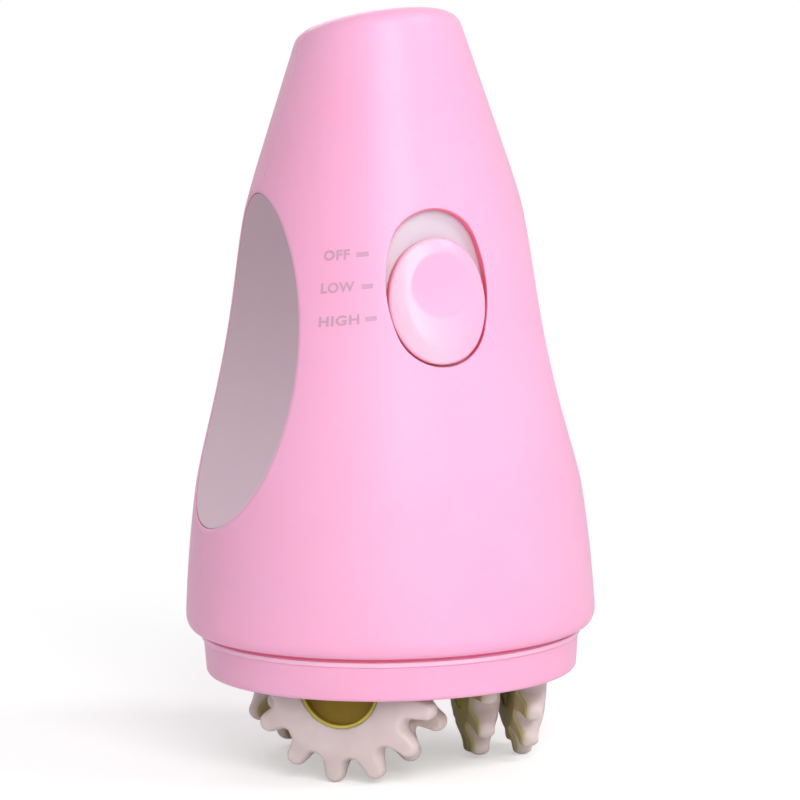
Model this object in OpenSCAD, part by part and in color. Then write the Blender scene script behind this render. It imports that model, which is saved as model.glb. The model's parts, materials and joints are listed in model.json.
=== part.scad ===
// Hand-held roller body massager: a cone-shaped housing with a slide switch and two
// side grips stands on three pairs of toothed rollers, which hang from a driven turntable.
// Front (switch side) is -Y, up is +Z, and the rollers stand on the plane z = 0.

/* [Housing] */
// Widest diameter of the housing
body_d = 103.6; // [103:0.2:125]
// Wall thickness of the two shells
wall = 2.5; // [2:0.1:3]
// Height of the bulging lower part of the flank
low_bow_h = 44.5; // [40:0.5:54]
// Height of the straight middle part of the flank
flank_h = 36; // [30:0.5:42]
// Height of the part where the flank bends in towards the top
high_bow_h = 35.5; // [30:0.5:42]
// Height of the conical top, from the bend to the slanted top face on the axis
cone_h = 34; // [29:0.5:40]
// Slope of the flank at the foot, degrees from upright
foot_angle = 2.5; // [1:0.5:4]
// Slope of the flank in the middle, degrees from upright
flank_angle = 10.5; // [9:0.5:12]
// Slope of the conical top, degrees from upright
cone_angle = 18; // [15:0.5:19]
// Slant of the top face, falling to the rear, degrees
top_slant = 20; // [0:1:22]
// Rounding of the top rim
rim_round = 4.5; // [3:0.25:6]
// Height of the rounded lower edge
foot_round_h = 4; // [3:0.25:5]
// How far the lower edge draws in
foot_round_in = 2.4; // [1.5:0.1:2.6]
// Gap along the seam between the two shells
seam_gap = 0.15; // [0.1:0.05:0.3]

/* [Grips] */
// Radius of the hollow that is scooped out of each side
scoop_r = 131; // [116:1:150]
// Depth of the hollow at its middle
scoop_depth = 8.6; // [7:0.2:9]
// Middle of the hollow, above the foot of the housing
scoop_up = 72; // [66:0.5:78]
// Thickness of the soft grip pad
grip_t = 2; // [1.5:0.1:2.5]
// Width of the edge that is left round the pad
grip_lip = 0.75; // [0.6:0.05:1.5]

/* [Slide switch] */
// Width of the oval window
window_w = 27.6; // [24:0.1:33.2]
// Height of the oval window
window_h = 40.4; // [36:0.2:46]
// Middle of the window, above the foot of the housing
window_up = 91.5; // [86:0.5:96]
// Travel of the switch from one end to the other
switch_travel = 6.5; // [4:0.5:8]
// Running gap between the thumb button and the window
button_gap = 0.2; // [0.15:0.05:0.3]
// Side gap between the thumb button and the window
button_side_gap = 0.6; // [0.4:0.05:0.8]
// Depth of the thumb hollow in the button
dish_depth = 1.5; // [0.8:0.1:1.6]
// Depth of the dust plate below the surface
plate_depth = 3.2; // [3:0.1:4]
// Thickness of the dust plate
plate_t = 1.4; // [1:0.1:2]

/* [Base ring] */
// Height of the visible ring
ring_h = 10.2; // [8:0.2:13]
// How far the ring's lip stands in from the widest part of the housing
ring_inset = 3.8; // [2.6:0.1:4.2]
// Wall of the sleeve in which the turntable turns
sleeve_t = 2.4; // [2:0.1:2.6]
// Shadow gap between the ring and the housing
shadow_gap = 1.2; // [0.8:0.1:2]
// Height of the ring's lip
lip_h = 1.2; // [0.8:0.1:2]

/* [Rollers] */
// Diameter of a roller over its fingers
roller_d = 50.6; // [48:0.2:51.2]
// Number of fingers on a roller
fingers = 13; // [9:1:15]
// Diameter at the bottom of the gaps between the fingers
root_d = 37.8; // [34:0.2:39]
// Radius of a finger's round end
finger_r = 2.3; // [1.8:0.1:2.5]
// Thickness of a roller at its root
roller_t = 8.6; // [7:0.2:8.8]
// Thickness of a finger near its end
finger_t = 4.6; // [4:0.2:5]
// Distance of the inner rollers from the middle of the turntable
inner_rho = 21; // [20.8:0.1:21.4]
// Distance of the outer rollers from the middle of the turntable
outer_rho = 32.8; // [32.4:0.1:33]
// Diameter of the axles
axle_d = 2.5; // [2:0.1:3]
// Running clearance of a roller on its axle, per side
axle_play = 0.06; // [0.03:0.01:0.1]
// Height of the axles above the lower edge of the ring
axle_inset = 1.8; // [1:0.1:4]
// Direction of the first pair of rollers
rotor_turn = 227.8; // [0:0.1:360]

/* [Turntable] */
// Thickness of the turntable's disc
disc_t = 2.6; // [2:0.1:3]
// Running gap between the turntable and the ring
rotor_gap = 0.9; // [0.7:0.1:1.2]
// Thickness of the walls between the pairs of rollers
web_t = 4.6; // [3:0.2:5]
// Radius of the turntable's hub
hub_r = 13.5; // [11:0.5:14]
// Diameter of the output shaft
shaft_d = 6; // [5:0.5:7]

/* [Drive] */
// Module of the gears
gear_m = 0.8; // [0.75:0.05:0.85]
// Teeth of the motor pinion and of the small idler gear
pinion_teeth = 12; // [12:1:13]
// Teeth of the large idler gear
idler_teeth = 36; // [34:1:38]
// Teeth of the output gear
output_teeth = 42; // [40:1:44]
// Thinning of each tooth flank, for backlash
backlash = 0.08; // [0.05:0.01:0.12]
// Diameter of the motor can
motor_d = 24.4; // [20:0.2:25]
// Length of the motor can
motor_l = 28; // [24:0.5:30]
// Distance of the motor from the output shaft
motor_out = 19.5; // [18:0.5:21]

/* [Batteries] */
// Diameter of a cell
cell_d = 14.5; // [10.5:0.1:14.8]
// Length of a cell
cell_l = 50.5; // [42:0.1:51]
// Distance between neighbouring cells
cell_pitch = 15; // [14.9:0.1:15.2]
// Width of the battery door
door_w = 47; // [44:0.5:48]
// Height of the battery door
door_h = 56; // [50:0.5:60]
// Lower edge of the door, above the foot of the housing
door_up = 46; // [44:0.5:50]
// Gap round the door
door_gap = 0.35; // [0.3:0.05:0.5]
// Wider gap above the door, which lets its upper edge swing out
door_top_gap = 0.8; // [0.7:0.05:1]

/* [Hidden] */

// Steps of a full circle on turned parts
fine = 180;
// Steps of a full circle on small turned parts
small = 48;
// A cut reaches this far past the face that it opens
past = 1;
// Face clearance between fixed pieces
seat = 0.05;
// Room between a fixed piece and the wall beside it
relief = 0.3;

// Heights from the table upwards
pitch = 360 / fingers;
axle_z = (roller_d / 2 - finger_r) * cos(pitch / 4) + finger_r;
ring_z0 = axle_z - axle_inset;
ring_z1 = ring_z0 + ring_h;
foot_z = ring_z1 + shadow_gap;
wide_z = foot_z + foot_round_h;
bow1_z = wide_z + low_bow_h;
bow2_z = bow1_z + flank_h;
cone_z = bow2_z + high_bow_h;
top_z = cone_z + cone_h;

// The flank: an arc, a straight part, an arc and a cone, all tangent to each other
wide_r = body_d / 2;
low_bow_r = low_bow_h / (sin(flank_angle) - sin(foot_angle));
bow1_r = wide_r - low_bow_r * (cos(foot_angle) - cos(flank_angle));
bow2_r = bow1_r - flank_h * tan(flank_angle);
high_bow_r = high_bow_h / (sin(cone_angle) - sin(flank_angle));
cone_r = bow2_r - high_bow_r * (cos(flank_angle) - cos(cone_angle));

// Slope of the flank at a height
function flank_a(z) =
    z <= wide_z ? foot_angle
    : z < bow1_z ? asin(sin(foot_angle) + (z - wide_z) / low_bow_r)
    : z <= bow2_z ? flank_angle
    : z < cone_z ? asin(sin(flank_angle) + (z - bow2_z) / high_bow_r)
    : cone_angle;

// Radius of the flank at a height
function flank_r(z) =
    z <= wide_z ? wide_r
    : z < bow1_z ? wide_r - low_bow_r * (cos(foot_angle) - cos(flank_a(z)))
    : z <= bow2_z ? bow1_r - (z - bow1_z) * tan(flank_angle)
    : z < cone_z ? bow2_r - high_bow_r * (cos(flank_angle) - cos(flank_a(z)))
    : cone_r - (z - cone_z) * tan(cone_angle);

// Radius of a surface that lies t inside the flank
function inset_r(z, t) = flank_r(z) - t / cos(flank_a(z));

// Heights at which the curved flank gets a ring of its own
bow_steps = 9;
stations = concat(
    [for (i = [0:bow_steps]) wide_z + low_bow_h * i / bow_steps],
    [for (i = [0:bow_steps]) bow2_z + high_bow_h * i / bow_steps]);

// The rim of the slanted top: balls of the rim's rounding lie against flank and top
crown_z = cone_z + cone_h * 0.45;
crown_balls = 40;
top_fall = tan(top_slant);
cone_fall = tan(cone_angle);
ball_c = cone_r + cone_z * cone_fall - rim_round / cos(cone_angle);
ball_top = top_z - rim_round / cos(top_slant);
function ball_z(t) =
    (ball_top - top_fall * ball_c * cos(t)) / (1 - top_fall * cone_fall * cos(t));
function ball_r(t) = ball_c - cone_fall * ball_z(t);

// Grips
scoop_z = foot_z + scoop_up;
scoop_a = flank_a(scoop_z);
scoop_out = scoop_r - scoop_depth;
scoop_back = grip_t + seat + wall - 0.7;
scoop_x = flank_r(scoop_z) + scoop_out * cos(scoop_a);
scoop_axis_z = scoop_z + scoop_out * sin(scoop_a);

// Slide switch, in a frame whose z axis stands out of the flank
window_z = foot_z + window_up;
window_a = flank_a(window_z);
window_r = flank_r(window_z) / cos(window_a);
window_end_r = window_w * 0.453;
frame_edge = 4.2;
plate_edge = 2.2;
button_y = -switch_travel / 2;
button_h = window_h - switch_travel - 2 * button_gap;
// The button keeps its gap from the window's flanks at both ends of the travel
button_swing = button_y * button_y / 2 / (
    oval_side_r(window_w / 2, window_h / 2, window_end_r)
    - oval_side_r(window_w / 2 - button_side_gap, button_h / 2, window_end_r - button_side_gap));
button_in = max(button_side_gap, button_gap + button_swing);
button_w = window_w - 2 * button_in;
button_end_r = window_end_r - button_in;
button_proud = 0.4;
button_under = plate_depth - 0.15;
button_round = 2.1;
button_drop = 1.35;
dish_xy = [1.2, button_y + 3.6];
dish_rim_r = 8.6;
lever_w = 3.6;
lever_play = 0.1;
lever_in = 1.5;
lever_reach = 8.8;
switch_w = 8.4;
switch_l = 22;
switch_t = 6;
switch_z = -(plate_depth + plate_t + 0.5);

// Base ring
ring_r = wide_r - ring_inset;
ring_taper = 1.2;
ring_edge_r = 1.3;
mouth_r = wide_r - foot_round_in - 2;
spigot_r = mouth_r - 0.3;
bore_r = spigot_r - sleeve_t;
flange_t = 2.4;
flange_bore_r = 38.5;

// Rollers
roller_r = roller_d / 2;
root_r = root_d / 2;
valley_r = 2.1;
core_r = 16;
core_step = 2;
spigot_core_r = 10.7;
core_back = 0.3;
core_rim = 3;
core_rib_t = 1.6;
backing_z = -1.2;
tip_drop = 0.6;
tip_thin = 0.62;
rotor_r = bore_r - rotor_gap;
pair_turns = [rotor_turn, rotor_turn + 120, rotor_turn + 240];

// Turntable
disc_z0 = axle_z + roller_r + 0.8;
disc_z1 = disc_z0 + disc_t;
leg_rho = outer_rho + roller_t / 2 + 1.3;
leg_t = 2.8;
leg_boss_r = 2.7;
leg_top_w = 22;
web_z0 = axle_z + 1.9;
pad_t = 2;
sector_round = 2.5;
window_half = roller_r + 1;
pad_apex = window_half / sin(60);
boss_r = 6.5;
shaft_play = 0.05;
shaft_z0 = disc_z0 - 11;
screw_web = 3;
hub_z0 = axle_z - 3.6;
hub_access_r = 4.6;
flange_z0 = disc_z1 + 1.8;
flange_z1 = flange_z0 + flange_t;

// Gearbox, from the chassis upwards
chassis_t = 3;
chassis_r = spigot_r;
chassis_z0 = flange_z1;
chassis_z1 = chassis_z0 + chassis_t;
bush_r = 5;
bush_flange_r = 7;
bush_flange_t = 1.1;
out_gear_z = chassis_z1 + bush_flange_t + 0.3;
out_gear_t = 5;
low_gear_t = 6;
big_gear_z = out_gear_z + low_gear_t + 0.3;
big_gear_t = 3.5;
gearbox_h = 13.2;
plate_z0 = chassis_z1 + gearbox_h;
motor_plate_t = 2.5;
plate_z1 = plate_z0 + motor_plate_t;
motor_plate_r = 36;
gear_bore_r = 1.5;
idler_pin_r = gear_bore_r - 0.05;
post_r = 3.2;
post_rho = 31;
post_turns = [15, 165, 235];

// The idler meshes with the motor pinion and with the output gear
pinion_r = gear_m * pinion_teeth / 2;
idler_r = gear_m * idler_teeth / 2;
output_r = gear_m * output_teeth / 2;
idler_out = output_r + pinion_r;
idler_in = idler_r + pinion_r;
idler_cos = (motor_out * motor_out + idler_out * idler_out - idler_in * idler_in)
    / (2 * motor_out * idler_out);
idler_turn = -90 + acos(idler_cos);
idler_xy = idler_out * [cos(idler_turn), sin(idler_turn)];
motor_xy = [0, -motor_out];
idler_to_motor = atan2(motor_xy[1] - idler_xy[1], motor_xy[0] - idler_xy[0]);

// Batteries
cell_y = 21;
tray_t = 1.6;
spring_h = 4;
contact_t = 0.4;
contact_gap = 0.2;
cell_play = 0.3;
tray_z0 = plate_z1;
cell_z0 = tray_z0 + tray_t + spring_h;
tray_z1 = cell_z0 + cell_l + contact_gap + contact_t + tray_t;
tray_x = cell_pitch + cell_d / 2 + cell_play + tray_t;
tray_y0 = cell_y - cell_d / 2 - cell_play - tray_t;
nub_r = 2.75;
nub_h = 1;
door_z0 = foot_z + door_up;
door_corner = 8;
door_y = flank_r(door_z0);
ledge_w = 1.6;
ledge_t = 1.2;
grab_z = door_z0 + door_h - 10;
grab_r = 10;
grab_w = 8;
grab_depth = 1.5;
hook_w = 7;
hook_x = 13;
hook_t = 1.4;
hook_down = 3;

// Fasteners
screw_r = 1.25;
head_r = 2.5;
head_h = 1.7;
shell_boss_r = 3.8;
shell_screw_l = 16;
shell_screws_xz = [
    [-30, foot_z + 48],
    [30, foot_z + 48],
    [0, cone_z + 6],
];
shell_head_y = 9;
ring_screw_rho = 41.6;
ring_screw_turns = [45, 135, 225, 315];
ring_boss_r = 3.6;
ring_boss_h = 12;
ring_screw_l = 13;

// Colours
pink = [0.98, 0.72, 0.85];
ring_pink = [0.96, 0.68, 0.80];
grip_grey = [0.69, 0.62, 0.67];
plate_grey = [0.88, 0.84, 0.87];
lime = [0.66, 0.72, 0.24];
milky = [0.93, 0.91, 0.90];
steel = [0.72, 0.73, 0.75];
bronze = [0.70, 0.52, 0.30];
acetal = [0.92, 0.92, 0.88];
black = [0.13, 0.13, 0.14];
dark = [0.30, 0.30, 0.32];
cell_blue = [0.25, 0.42, 0.62];

// Turned solid that lies t inside the flank
module skin(t) {
    rotate_extrude($fn = fine)
        polygon(concat(
            [[0, foot_z - past], [inset_r(wide_z, t), foot_z - past]],
            [for (z = stations) [inset_r(z, t), z]],
            [[inset_r(crown_z, t), crown_z], [0, crown_z]]));
}

// Everything below the slanted top face, lowered by t
module below_top(t) {
    size = 3 * body_d;
    translate([0, 0, top_z - t / cos(top_slant)])
        rotate([-top_slant, 0, 0])
            translate([-size / 2, -size / 2, -size])
                cube(size);
}

// The top of the housing with its slanted face and rounded rim
module crown() {
    hull() {
        translate([0, 0, crown_z - seat])
            cylinder(r = flank_r(crown_z), h = seat, $fn = 96);
        for (i = [0:crown_balls - 1]) {
            t = i * 360 / crown_balls;
            translate([ball_r(t) * sin(t), ball_r(t) * cos(t), ball_z(t)])
                sphere(rim_round, $fn = 32);
        }
    }
}

// The housing below its crown, as one solid with a rounded lower edge
module turned_body() {
    rotate_extrude($fn = fine)
        polygon(concat(
            [[0, foot_z], [wide_r - foot_round_in, foot_z]],
            [for (i = [1:4])
                [wide_r - foot_round_in * (1 - sin(i * 22.5)),
                 wide_z - foot_round_h * cos(i * 22.5)]],
            [for (i = [1:len(stations) - 1]) [flank_r(stations[i]), stations[i]]],
            [[flank_r(crown_z), crown_z], [0, crown_z]]));
}

// Cylinder of the side hollow, grown by t into the housing
module scoop(side, t) {
    translate([side * scoop_x, 0, scoop_axis_z])
        rotate([90, 0, 0])
            cylinder(r = scoop_r + t, h = 2 * body_d, center = true, $fn = fine);
}

// Inside of the housing
module cavity() {
    mouth_h = 7;
    difference() {
        union() {
            intersection() {
                skin(wall);
                below_top(wall);
                translate([0, 0, wide_z + mouth_h])
                    cylinder(r = body_d, h = 2 * top_z, $fn = small);
            }
            intersection() {
                inner_cone();
                below_top(wall);
            }
            translate([0, 0, foot_z - past])
                cylinder(r = mouth_r, h = foot_round_h + mouth_h + 2 * past, $fn = fine);
        }
        for (side = [-1, 1]) scoop(side, scoop_back);
    }
}

// The conical top of the cavity
module inner_cone() {
    reach = cone_h + 12;
    translate([0, 0, crown_z - past])
        cylinder(
            r1 = inset_r(crown_z - past, wall),
            r2 = inset_r(crown_z - past + reach, wall),
            h = reach,
            $fn = fine);
}

// Soft grip pad: a slice of the hollow's wall, trapped behind the edge of the shells
module grip(side) {
    color(grip_grey)
        difference() {
            intersection() {
                skin(grip_lip);
                scoop(side, grip_t);
            }
            scoop(side, 0);
        }
}

// Room for a grip pad, and the hollow in front of it
module grip_pocket(side) {
    intersection() {
        skin(grip_lip - seat);
        scoop(side, grip_t + seat);
    }
    scoop(side, 0);
}

// Oval of four tangent arcs, w wide and h high, with ends of radius e
function arc(c, r, a0, a1, n) =
    [for (i = [0:n]) c + r * [cos(a0 + (a1 - a0) * i / n), sin(a0 + (a1 - a0) * i / n)]];
function oval_side_r(a, b, e) = (a * a + (b - e) * (b - e) - e * e) / (2 * (a - e));
function oval(w, h, e) =
    let (
        a = w / 2,
        b = h / 2,
        s = oval_side_r(a, b, e),
        turn = atan2(b - e, s - a))
    concat(
        arc([-(s - a), 0], s, -turn, turn, 8),
        arc([0, b - e], e, turn + 7, 173 - turn, 9),
        arc([s - a, 0], s, 180 - turn, 180 + turn, 8),
        arc([0, e - b], e, 187 + turn, 353 - turn, 9));

// The frame of the switch window: x across, y up the flank, z outwards
module at_window() {
    translate([0, -flank_r(window_z), window_z])
        rotate([90 - window_a, 0, 0])
            children();
}

// Cylinder along the switch's travel that follows the flank at depth t
module slide_skin(t) {
    translate([0, 0, -window_r])
        rotate([90, 0, 0])
            cylinder(r = window_r - t, h = 2 * body_d, center = true, $fn = fine);
}

module window_prism(edge, z0, z1) {
    translate([0, 0, z0])
        linear_extrude(z1 - z0)
            polygon(oval(window_w + 2 * edge, window_h + 2 * edge, window_end_r + edge));
}

// Thickened frame of the front shell round the switch window
module window_frame() {
    intersection() {
        turned_body();
        at_window()
            difference() {
                window_prism(frame_edge, -10, 4);
                slide_skin(plate_depth);
            }
    }
}

// Boss of a shell screw, from the seam to the wall
module shell_bosses(r) {
    for (p = shell_screws_xz)
        translate([p[0], 0, p[1]])
            rotate([90, 0, 0])
                cylinder(r = r, h = 2 * body_d, center = true, $fn = small);
}

// Bosses that take the ring screws from below
module ring_bosses() {
    for (t = ring_screw_turns)
        rotate([0, 0, t]) {
            translate([ring_screw_rho, 0, chassis_z1])
                cylinder(r = ring_boss_r, h = ring_boss_h, $fn = small);
            translate([ring_screw_rho, -1, chassis_z1])
                cube([body_d / 2, 2, ring_boss_h]);
        }
}

// Both shells in one, before the seam parts them
module whole_shell() {
    difference() {
        union() {
            difference() {
                union() {
                    turned_body();
                    crown();
                }
                cavity();
            }
            intersection() {
                turned_body();
                union() {
                    shell_bosses(shell_boss_r);
                    ring_bosses();
                }
            }
        }
        grip_pocket(-1);
        grip_pocket(1);
        for (t = ring_screw_turns)
            rotate([0, 0, t])
                translate([ring_screw_rho, 0, chassis_z1 - past])
                    cylinder(r = screw_r, h = ring_boss_h, $fn = small);
    }
}

module half_space(side) {
    size = 3 * body_d;
    translate([-size / 2, side > 0 ? seam_gap / 2 : -size - seam_gap / 2, -past])
        cube(size);
}

module front_shell() {
    color(pink)
        difference() {
            union() {
                intersection() {
                    whole_shell();
                    half_space(-1);
                }
                window_frame();
            }
            at_window() {
                window_prism(0, -12, 6);
                intersection() {
                    window_prism(plate_edge + relief, -12, 0);
                    slide_skin(plate_depth);
                }
            }
            // Pilot holes for the shell screws
            for (p = shell_screws_xz)
                translate([p[0], past, p[1]])
                    rotate([90, 0, 0])
                        cylinder(r = screw_r, h = shell_screw_l - shell_head_y + 3, $fn = small);
        }
}

// Outline of the battery door, grown by edge, as a bar through the rear wall
module door_prism(edge, top_edge) {
    w = door_w + 2 * edge;
    h = door_h + edge + top_edge;
    r = door_corner + edge;
    translate([0, body_d, door_z0 - edge])
        rotate([90, 0, 0])
            linear_extrude(body_d - tray_y0)
                union() {
                    translate([-w / 2, 0]) square([w, h - r]);
                    translate([r - w / 2, 0]) square([w - 2 * r, h]);
                    for (side = [-1, 1])
                        translate([side * (w / 2 - r), h - r]) circle(r, $fn = small * 2);
                }
}

// Room for the hooks below the door
module hook_slots(play) {
    for (side = [-1, 1])
        translate([side * hook_x - hook_w / 2 - play, door_y - 20, door_z0 - hook_down - play])
            cube([hook_w + 2 * play, 40, hook_down + 3 + 2 * play]);
}

module rear_shell() {
    color(pink)
        difference() {
            union() {
                difference() {
                    intersection() {
                        whole_shell();
                        half_space(1);
                    }
                    door_prism(door_gap, door_top_gap);
                }
                // Ledge on which the door rests
                difference() {
                    intersection() {
                        door_prism(door_gap + ledge_w, door_top_gap + ledge_w);
                        skin(wall);
                    }
                    skin(wall + ledge_t);
                    door_prism(-ledge_w, -ledge_w);
                    intersection() {
                        hook_slots(0.4);
                        skin(wall);
                    }
                }
            }
            // Clearance holes and head wells for the shell screws
            for (p = shell_screws_xz)
                translate([p[0], 0, p[1]])
                    rotate([-90, 0, 0]) {
                        translate([0, 0, -past]) cylinder(r = screw_r + 0.2, h = body_d, $fn = small);
                        translate([0, 0, shell_head_y])
                            cylinder(r = head_r + 0.3, h = body_d, $fn = small);
                    }
        }
}

module left_grip() {
    grip(-1);
}

module right_grip() {
    grip(1);
}

module battery_door() {
    color(pink)
        difference() {
            union() {
                difference() {
                    intersection() {
                        skin(0);
                        door_prism(0, 0);
                    }
                    skin(wall - 0.1);
                }
                // Hooks that reach behind the lower edge of the opening
                for (side = [-1, 1])
                    intersection() {
                        difference() {
                            skin(wall + 0.4);
                            skin(wall + 0.4 + hook_t);
                        }
                        translate([side * hook_x - hook_w / 2, 0, door_z0 - hook_down])
                            cube([hook_w, body_d, hook_down + 5]);
                    }
                for (side = [-1, 1])
                    intersection() {
                        difference() {
                            skin(wall - 0.5);
                            skin(wall + 0.5 + hook_t);
                        }
                        translate([side * hook_x - hook_w / 2, 0, door_z0 + 1])
                            cube([hook_w, body_d, 3]);
                    }
            }
            // Thumb hollow near the upper edge
            translate([0, flank_r(grab_z) + grab_r - grab_depth, grab_z]) {
                rotate([0, 90, 0])
                    cylinder(r = grab_r, h = grab_w, center = true, $fn = 96);
                for (side = [-1, 1])
                    translate([side * grab_w / 2, 0, 0]) sphere(grab_r, $fn = 96);
            }
        }
}

// Ring that closes the foot of the housing, with the sleeve that carries its flange
module base_ring() {
    color(ring_pink)
        difference() {
            rotate_extrude($fn = fine)
                polygon(concat(
                    [[bore_r, ring_z0]],
                    arc([ring_r - ring_taper - ring_edge_r, ring_z0 + ring_edge_r],
                        ring_edge_r, -90, 0, 4),
                    [
                        [ring_r - 0.5, ring_z1 - lip_h - 0.3],
                        [ring_r, ring_z1 - lip_h],
                        [ring_r, ring_z1 - 0.3],
                        [ring_r - 0.3, ring_z1],
                        [spigot_r, ring_z1],
                        [spigot_r, flange_z1],
                        [flange_bore_r, flange_z1],
                        [flange_bore_r, flange_z0],
                        [bore_r, flange_z0],
                    ]));
            for (t = ring_screw_turns)
                rotate([0, 0, t])
                    translate([ring_screw_rho, 0, 0]) {
                        translate([0, 0, flange_z0 - past])
                            cylinder(r = screw_r + 0.2, h = flange_t + 2 * past, $fn = small);
                        translate([0, 0, flange_z0 - seat])
                            cylinder(r1 = head_r + 0.1, r2 = screw_r + 0.1, h = head_h, $fn = small);
                    }
        }
}

// Plate across the foot of the housing that carries the gearbox
module chassis() {
    color(acetal)
        difference() {
            union() {
                translate([0, 0, chassis_z0])
                    cylinder(r = chassis_r, h = chassis_t, $fn = fine);
                for (t = post_turns)
                    rotate([0, 0, t])
                        translate([post_rho, 0, chassis_z0])
                            cylinder(r = post_r, h = plate_z0 - chassis_z0, $fn = small);
            }
            for (side = [-1, 1]) scoop(side, scoop_back + relief);
            translate([0, 0, chassis_z0 - past])
                cylinder(r = bush_r, h = chassis_t + 2 * past, $fn = small);
            translate([idler_xy[0], idler_xy[1], chassis_z0 - past])
                cylinder(r = idler_pin_r, h = chassis_t + 2 * past, $fn = small);
            for (t = ring_screw_turns)
                rotate([0, 0, t])
                    translate([ring_screw_rho, 0, chassis_z0 - past])
                        cylinder(r = screw_r + 0.2, h = chassis_t + 2 * past, $fn = small);
            for (t = post_turns)
                rotate([0, 0, t])
                    translate([post_rho, 0, plate_z0 - 8])
                        cylinder(r = screw_r, h = 9, $fn = small);
        }
}

// Plate on the chassis posts that carries the motor and the battery tray
module motor_plate() {
    color(acetal)
        translate([0, 0, plate_z0])
            difference() {
                cylinder(r = motor_plate_r, h = motor_plate_t, $fn = fine);
                translate([0, 0, -past])
                    cylinder(r = shaft_d / 2 + shaft_play, h = motor_plate_t + 2 * past, $fn = small);
                translate([idler_xy[0], idler_xy[1], -past])
                    cylinder(r = idler_pin_r, h = motor_plate_t + 2 * past, $fn = small);
                translate([motor_xy[0], motor_xy[1], -past])
                    cylinder(r = 4, h = motor_plate_t + 2 * past, $fn = small);
                for (side = [-1, 1])
                    translate([motor_xy[0] + side * 8, motor_xy[1], -past])
                        cylinder(r = screw_r + 0.1, h = motor_plate_t + 2 * past, $fn = small);
                for (t = post_turns)
                    rotate([0, 0, t])
                        translate([post_rho, 0, -past])
                            cylinder(r = screw_r + 0.2, h = motor_plate_t + 2 * past, $fn = small);
            }
}

module motor() {
    color(steel)
        translate([motor_xy[0], motor_xy[1], plate_z1])
            difference() {
                union() {
                    intersection() {
                        cylinder(r = motor_d / 2, h = motor_l, $fn = small * 2);
                        translate([-motor_d, -motor_d * 0.39, 0])
                            cube([2 * motor_d, motor_d * 0.78, motor_l]);
                    }
                    translate([0, 0, motor_l]) cylinder(r = 4, h = 1.8, $fn = small);
                    translate([0, 0, -2]) cylinder(r = 3.9, h = 2.5, $fn = small);
                    for (side = [-1, 1])
                        translate([side * 7 - 1.2, -0.2, motor_l]) cube([2.4, 0.4, 4]);
                }
                translate([0, 0, -3]) cylinder(r = 1.06, h = 15, $fn = small);
                for (side = [-1, 1])
                    translate([side * 8, 0, -past]) cylinder(r = screw_r, h = 5, $fn = small);
            }
}

module motor_screws() {
    color(steel)
        for (side = [-1, 1])
            translate([motor_xy[0] + side * 8, motor_xy[1], plate_z0]) {
                translate([0, 0, -1.4]) cylinder(r = 2.1, h = 1.4 - seat, $fn = small);
                translate([0, 0, -1.4])
                    cylinder(r = screw_r - seat, h = 1.4 + motor_plate_t + 3, $fn = small);
            }
}

module motor_shaft() {
    color(steel)
        translate([motor_xy[0], motor_xy[1], out_gear_z + 1])
            cylinder(r = 1, h = plate_z1 + 8 - out_gear_z - 1, $fn = small);
}

// Polar half width of a tooth at radius r, in degrees
function inv_deg(a) = tan(a) * 180 / PI - a;
function half_tooth(teeth, r) =
    let (rp = gear_m * teeth / 2, rb = rp * cos(20))
    90 / teeth - backlash / rp * 180 / PI + inv_deg(20) - inv_deg(r > rb ? acos(rb / r) : 0);
function polar(r, a) = r * [cos(a), sin(a)];
function gear_points(teeth) =
    let (
        rp = gear_m * teeth / 2,
        rf = rp - 1.1 * gear_m,
        ra = rp + 0.8 * gear_m,
        rs = [rf, max(rf + 0.05, rp * cos(20)), rp, ra])
    [for (i = [0:teeth - 1], side = [-1, 1], k = [0:3])
        let (r = rs[side < 0 ? k : 3 - k])
        polar(r, i * 360 / teeth + side * half_tooth(teeth, r))];

module gear(teeth, h) {
    linear_extrude(h) polygon(gear_points(teeth));
}

module motor_pinion() {
    color(bronze)
        translate([motor_xy[0], motor_xy[1], big_gear_z - 0.5])
            rotate([0, 0, idler_to_motor + 180 + 180 / pinion_teeth])
                difference() {
                    gear(pinion_teeth, big_gear_t + 1);
                    translate([0, 0, -past])
                        cylinder(r = 1.01, h = big_gear_t + 4, $fn = small);
                }
}

// Two gears in one moulding: the motor drives the large one, the small one the output gear
module idler_gear() {
    color(acetal)
        translate([idler_xy[0], idler_xy[1], 0])
            difference() {
                union() {
                    translate([0, 0, out_gear_z - 0.3])
                        rotate([0, 0, idler_turn + 180 + 180 / pinion_teeth])
                            gear(pinion_teeth, low_gear_t + 1);
                    translate([0, 0, big_gear_z])
                        rotate([0, 0, idler_to_motor])
                            gear(idler_teeth, big_gear_t);
                }
                translate([0, 0, out_gear_z - past])
                    cylinder(r = gear_bore_r, h = gearbox_h, $fn = small);
            }
}

module idler_pin() {
    color(steel)
        translate([idler_xy[0], idler_xy[1], chassis_z0])
            cylinder(r = idler_pin_r - 0.005, h = plate_z1 - chassis_z0, $fn = small);
}

module shaft_bush() {
    color(bronze)
        difference() {
            union() {
                translate([0, 0, chassis_z0])
                    cylinder(r = bush_r - 0.01, h = chassis_t, $fn = small);
                translate([0, 0, chassis_z1])
                    cylinder(r = bush_flange_r, h = bush_flange_t, $fn = small);
            }
            translate([0, 0, chassis_z0 - past])
                cylinder(r = shaft_d / 2 + shaft_play, h = chassis_t + bush_flange_t + 2 * past, $fn = small);
        }
}

module output_shaft() {
    color(steel)
        difference() {
            translate([0, 0, shaft_z0])
                cylinder(r = shaft_d / 2, h = plate_z1 - 0.5 - shaft_z0, $fn = small);
            translate([0, 0, shaft_z0 - past])
                cylinder(r = screw_r, h = 9, $fn = small);
        }
}

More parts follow.
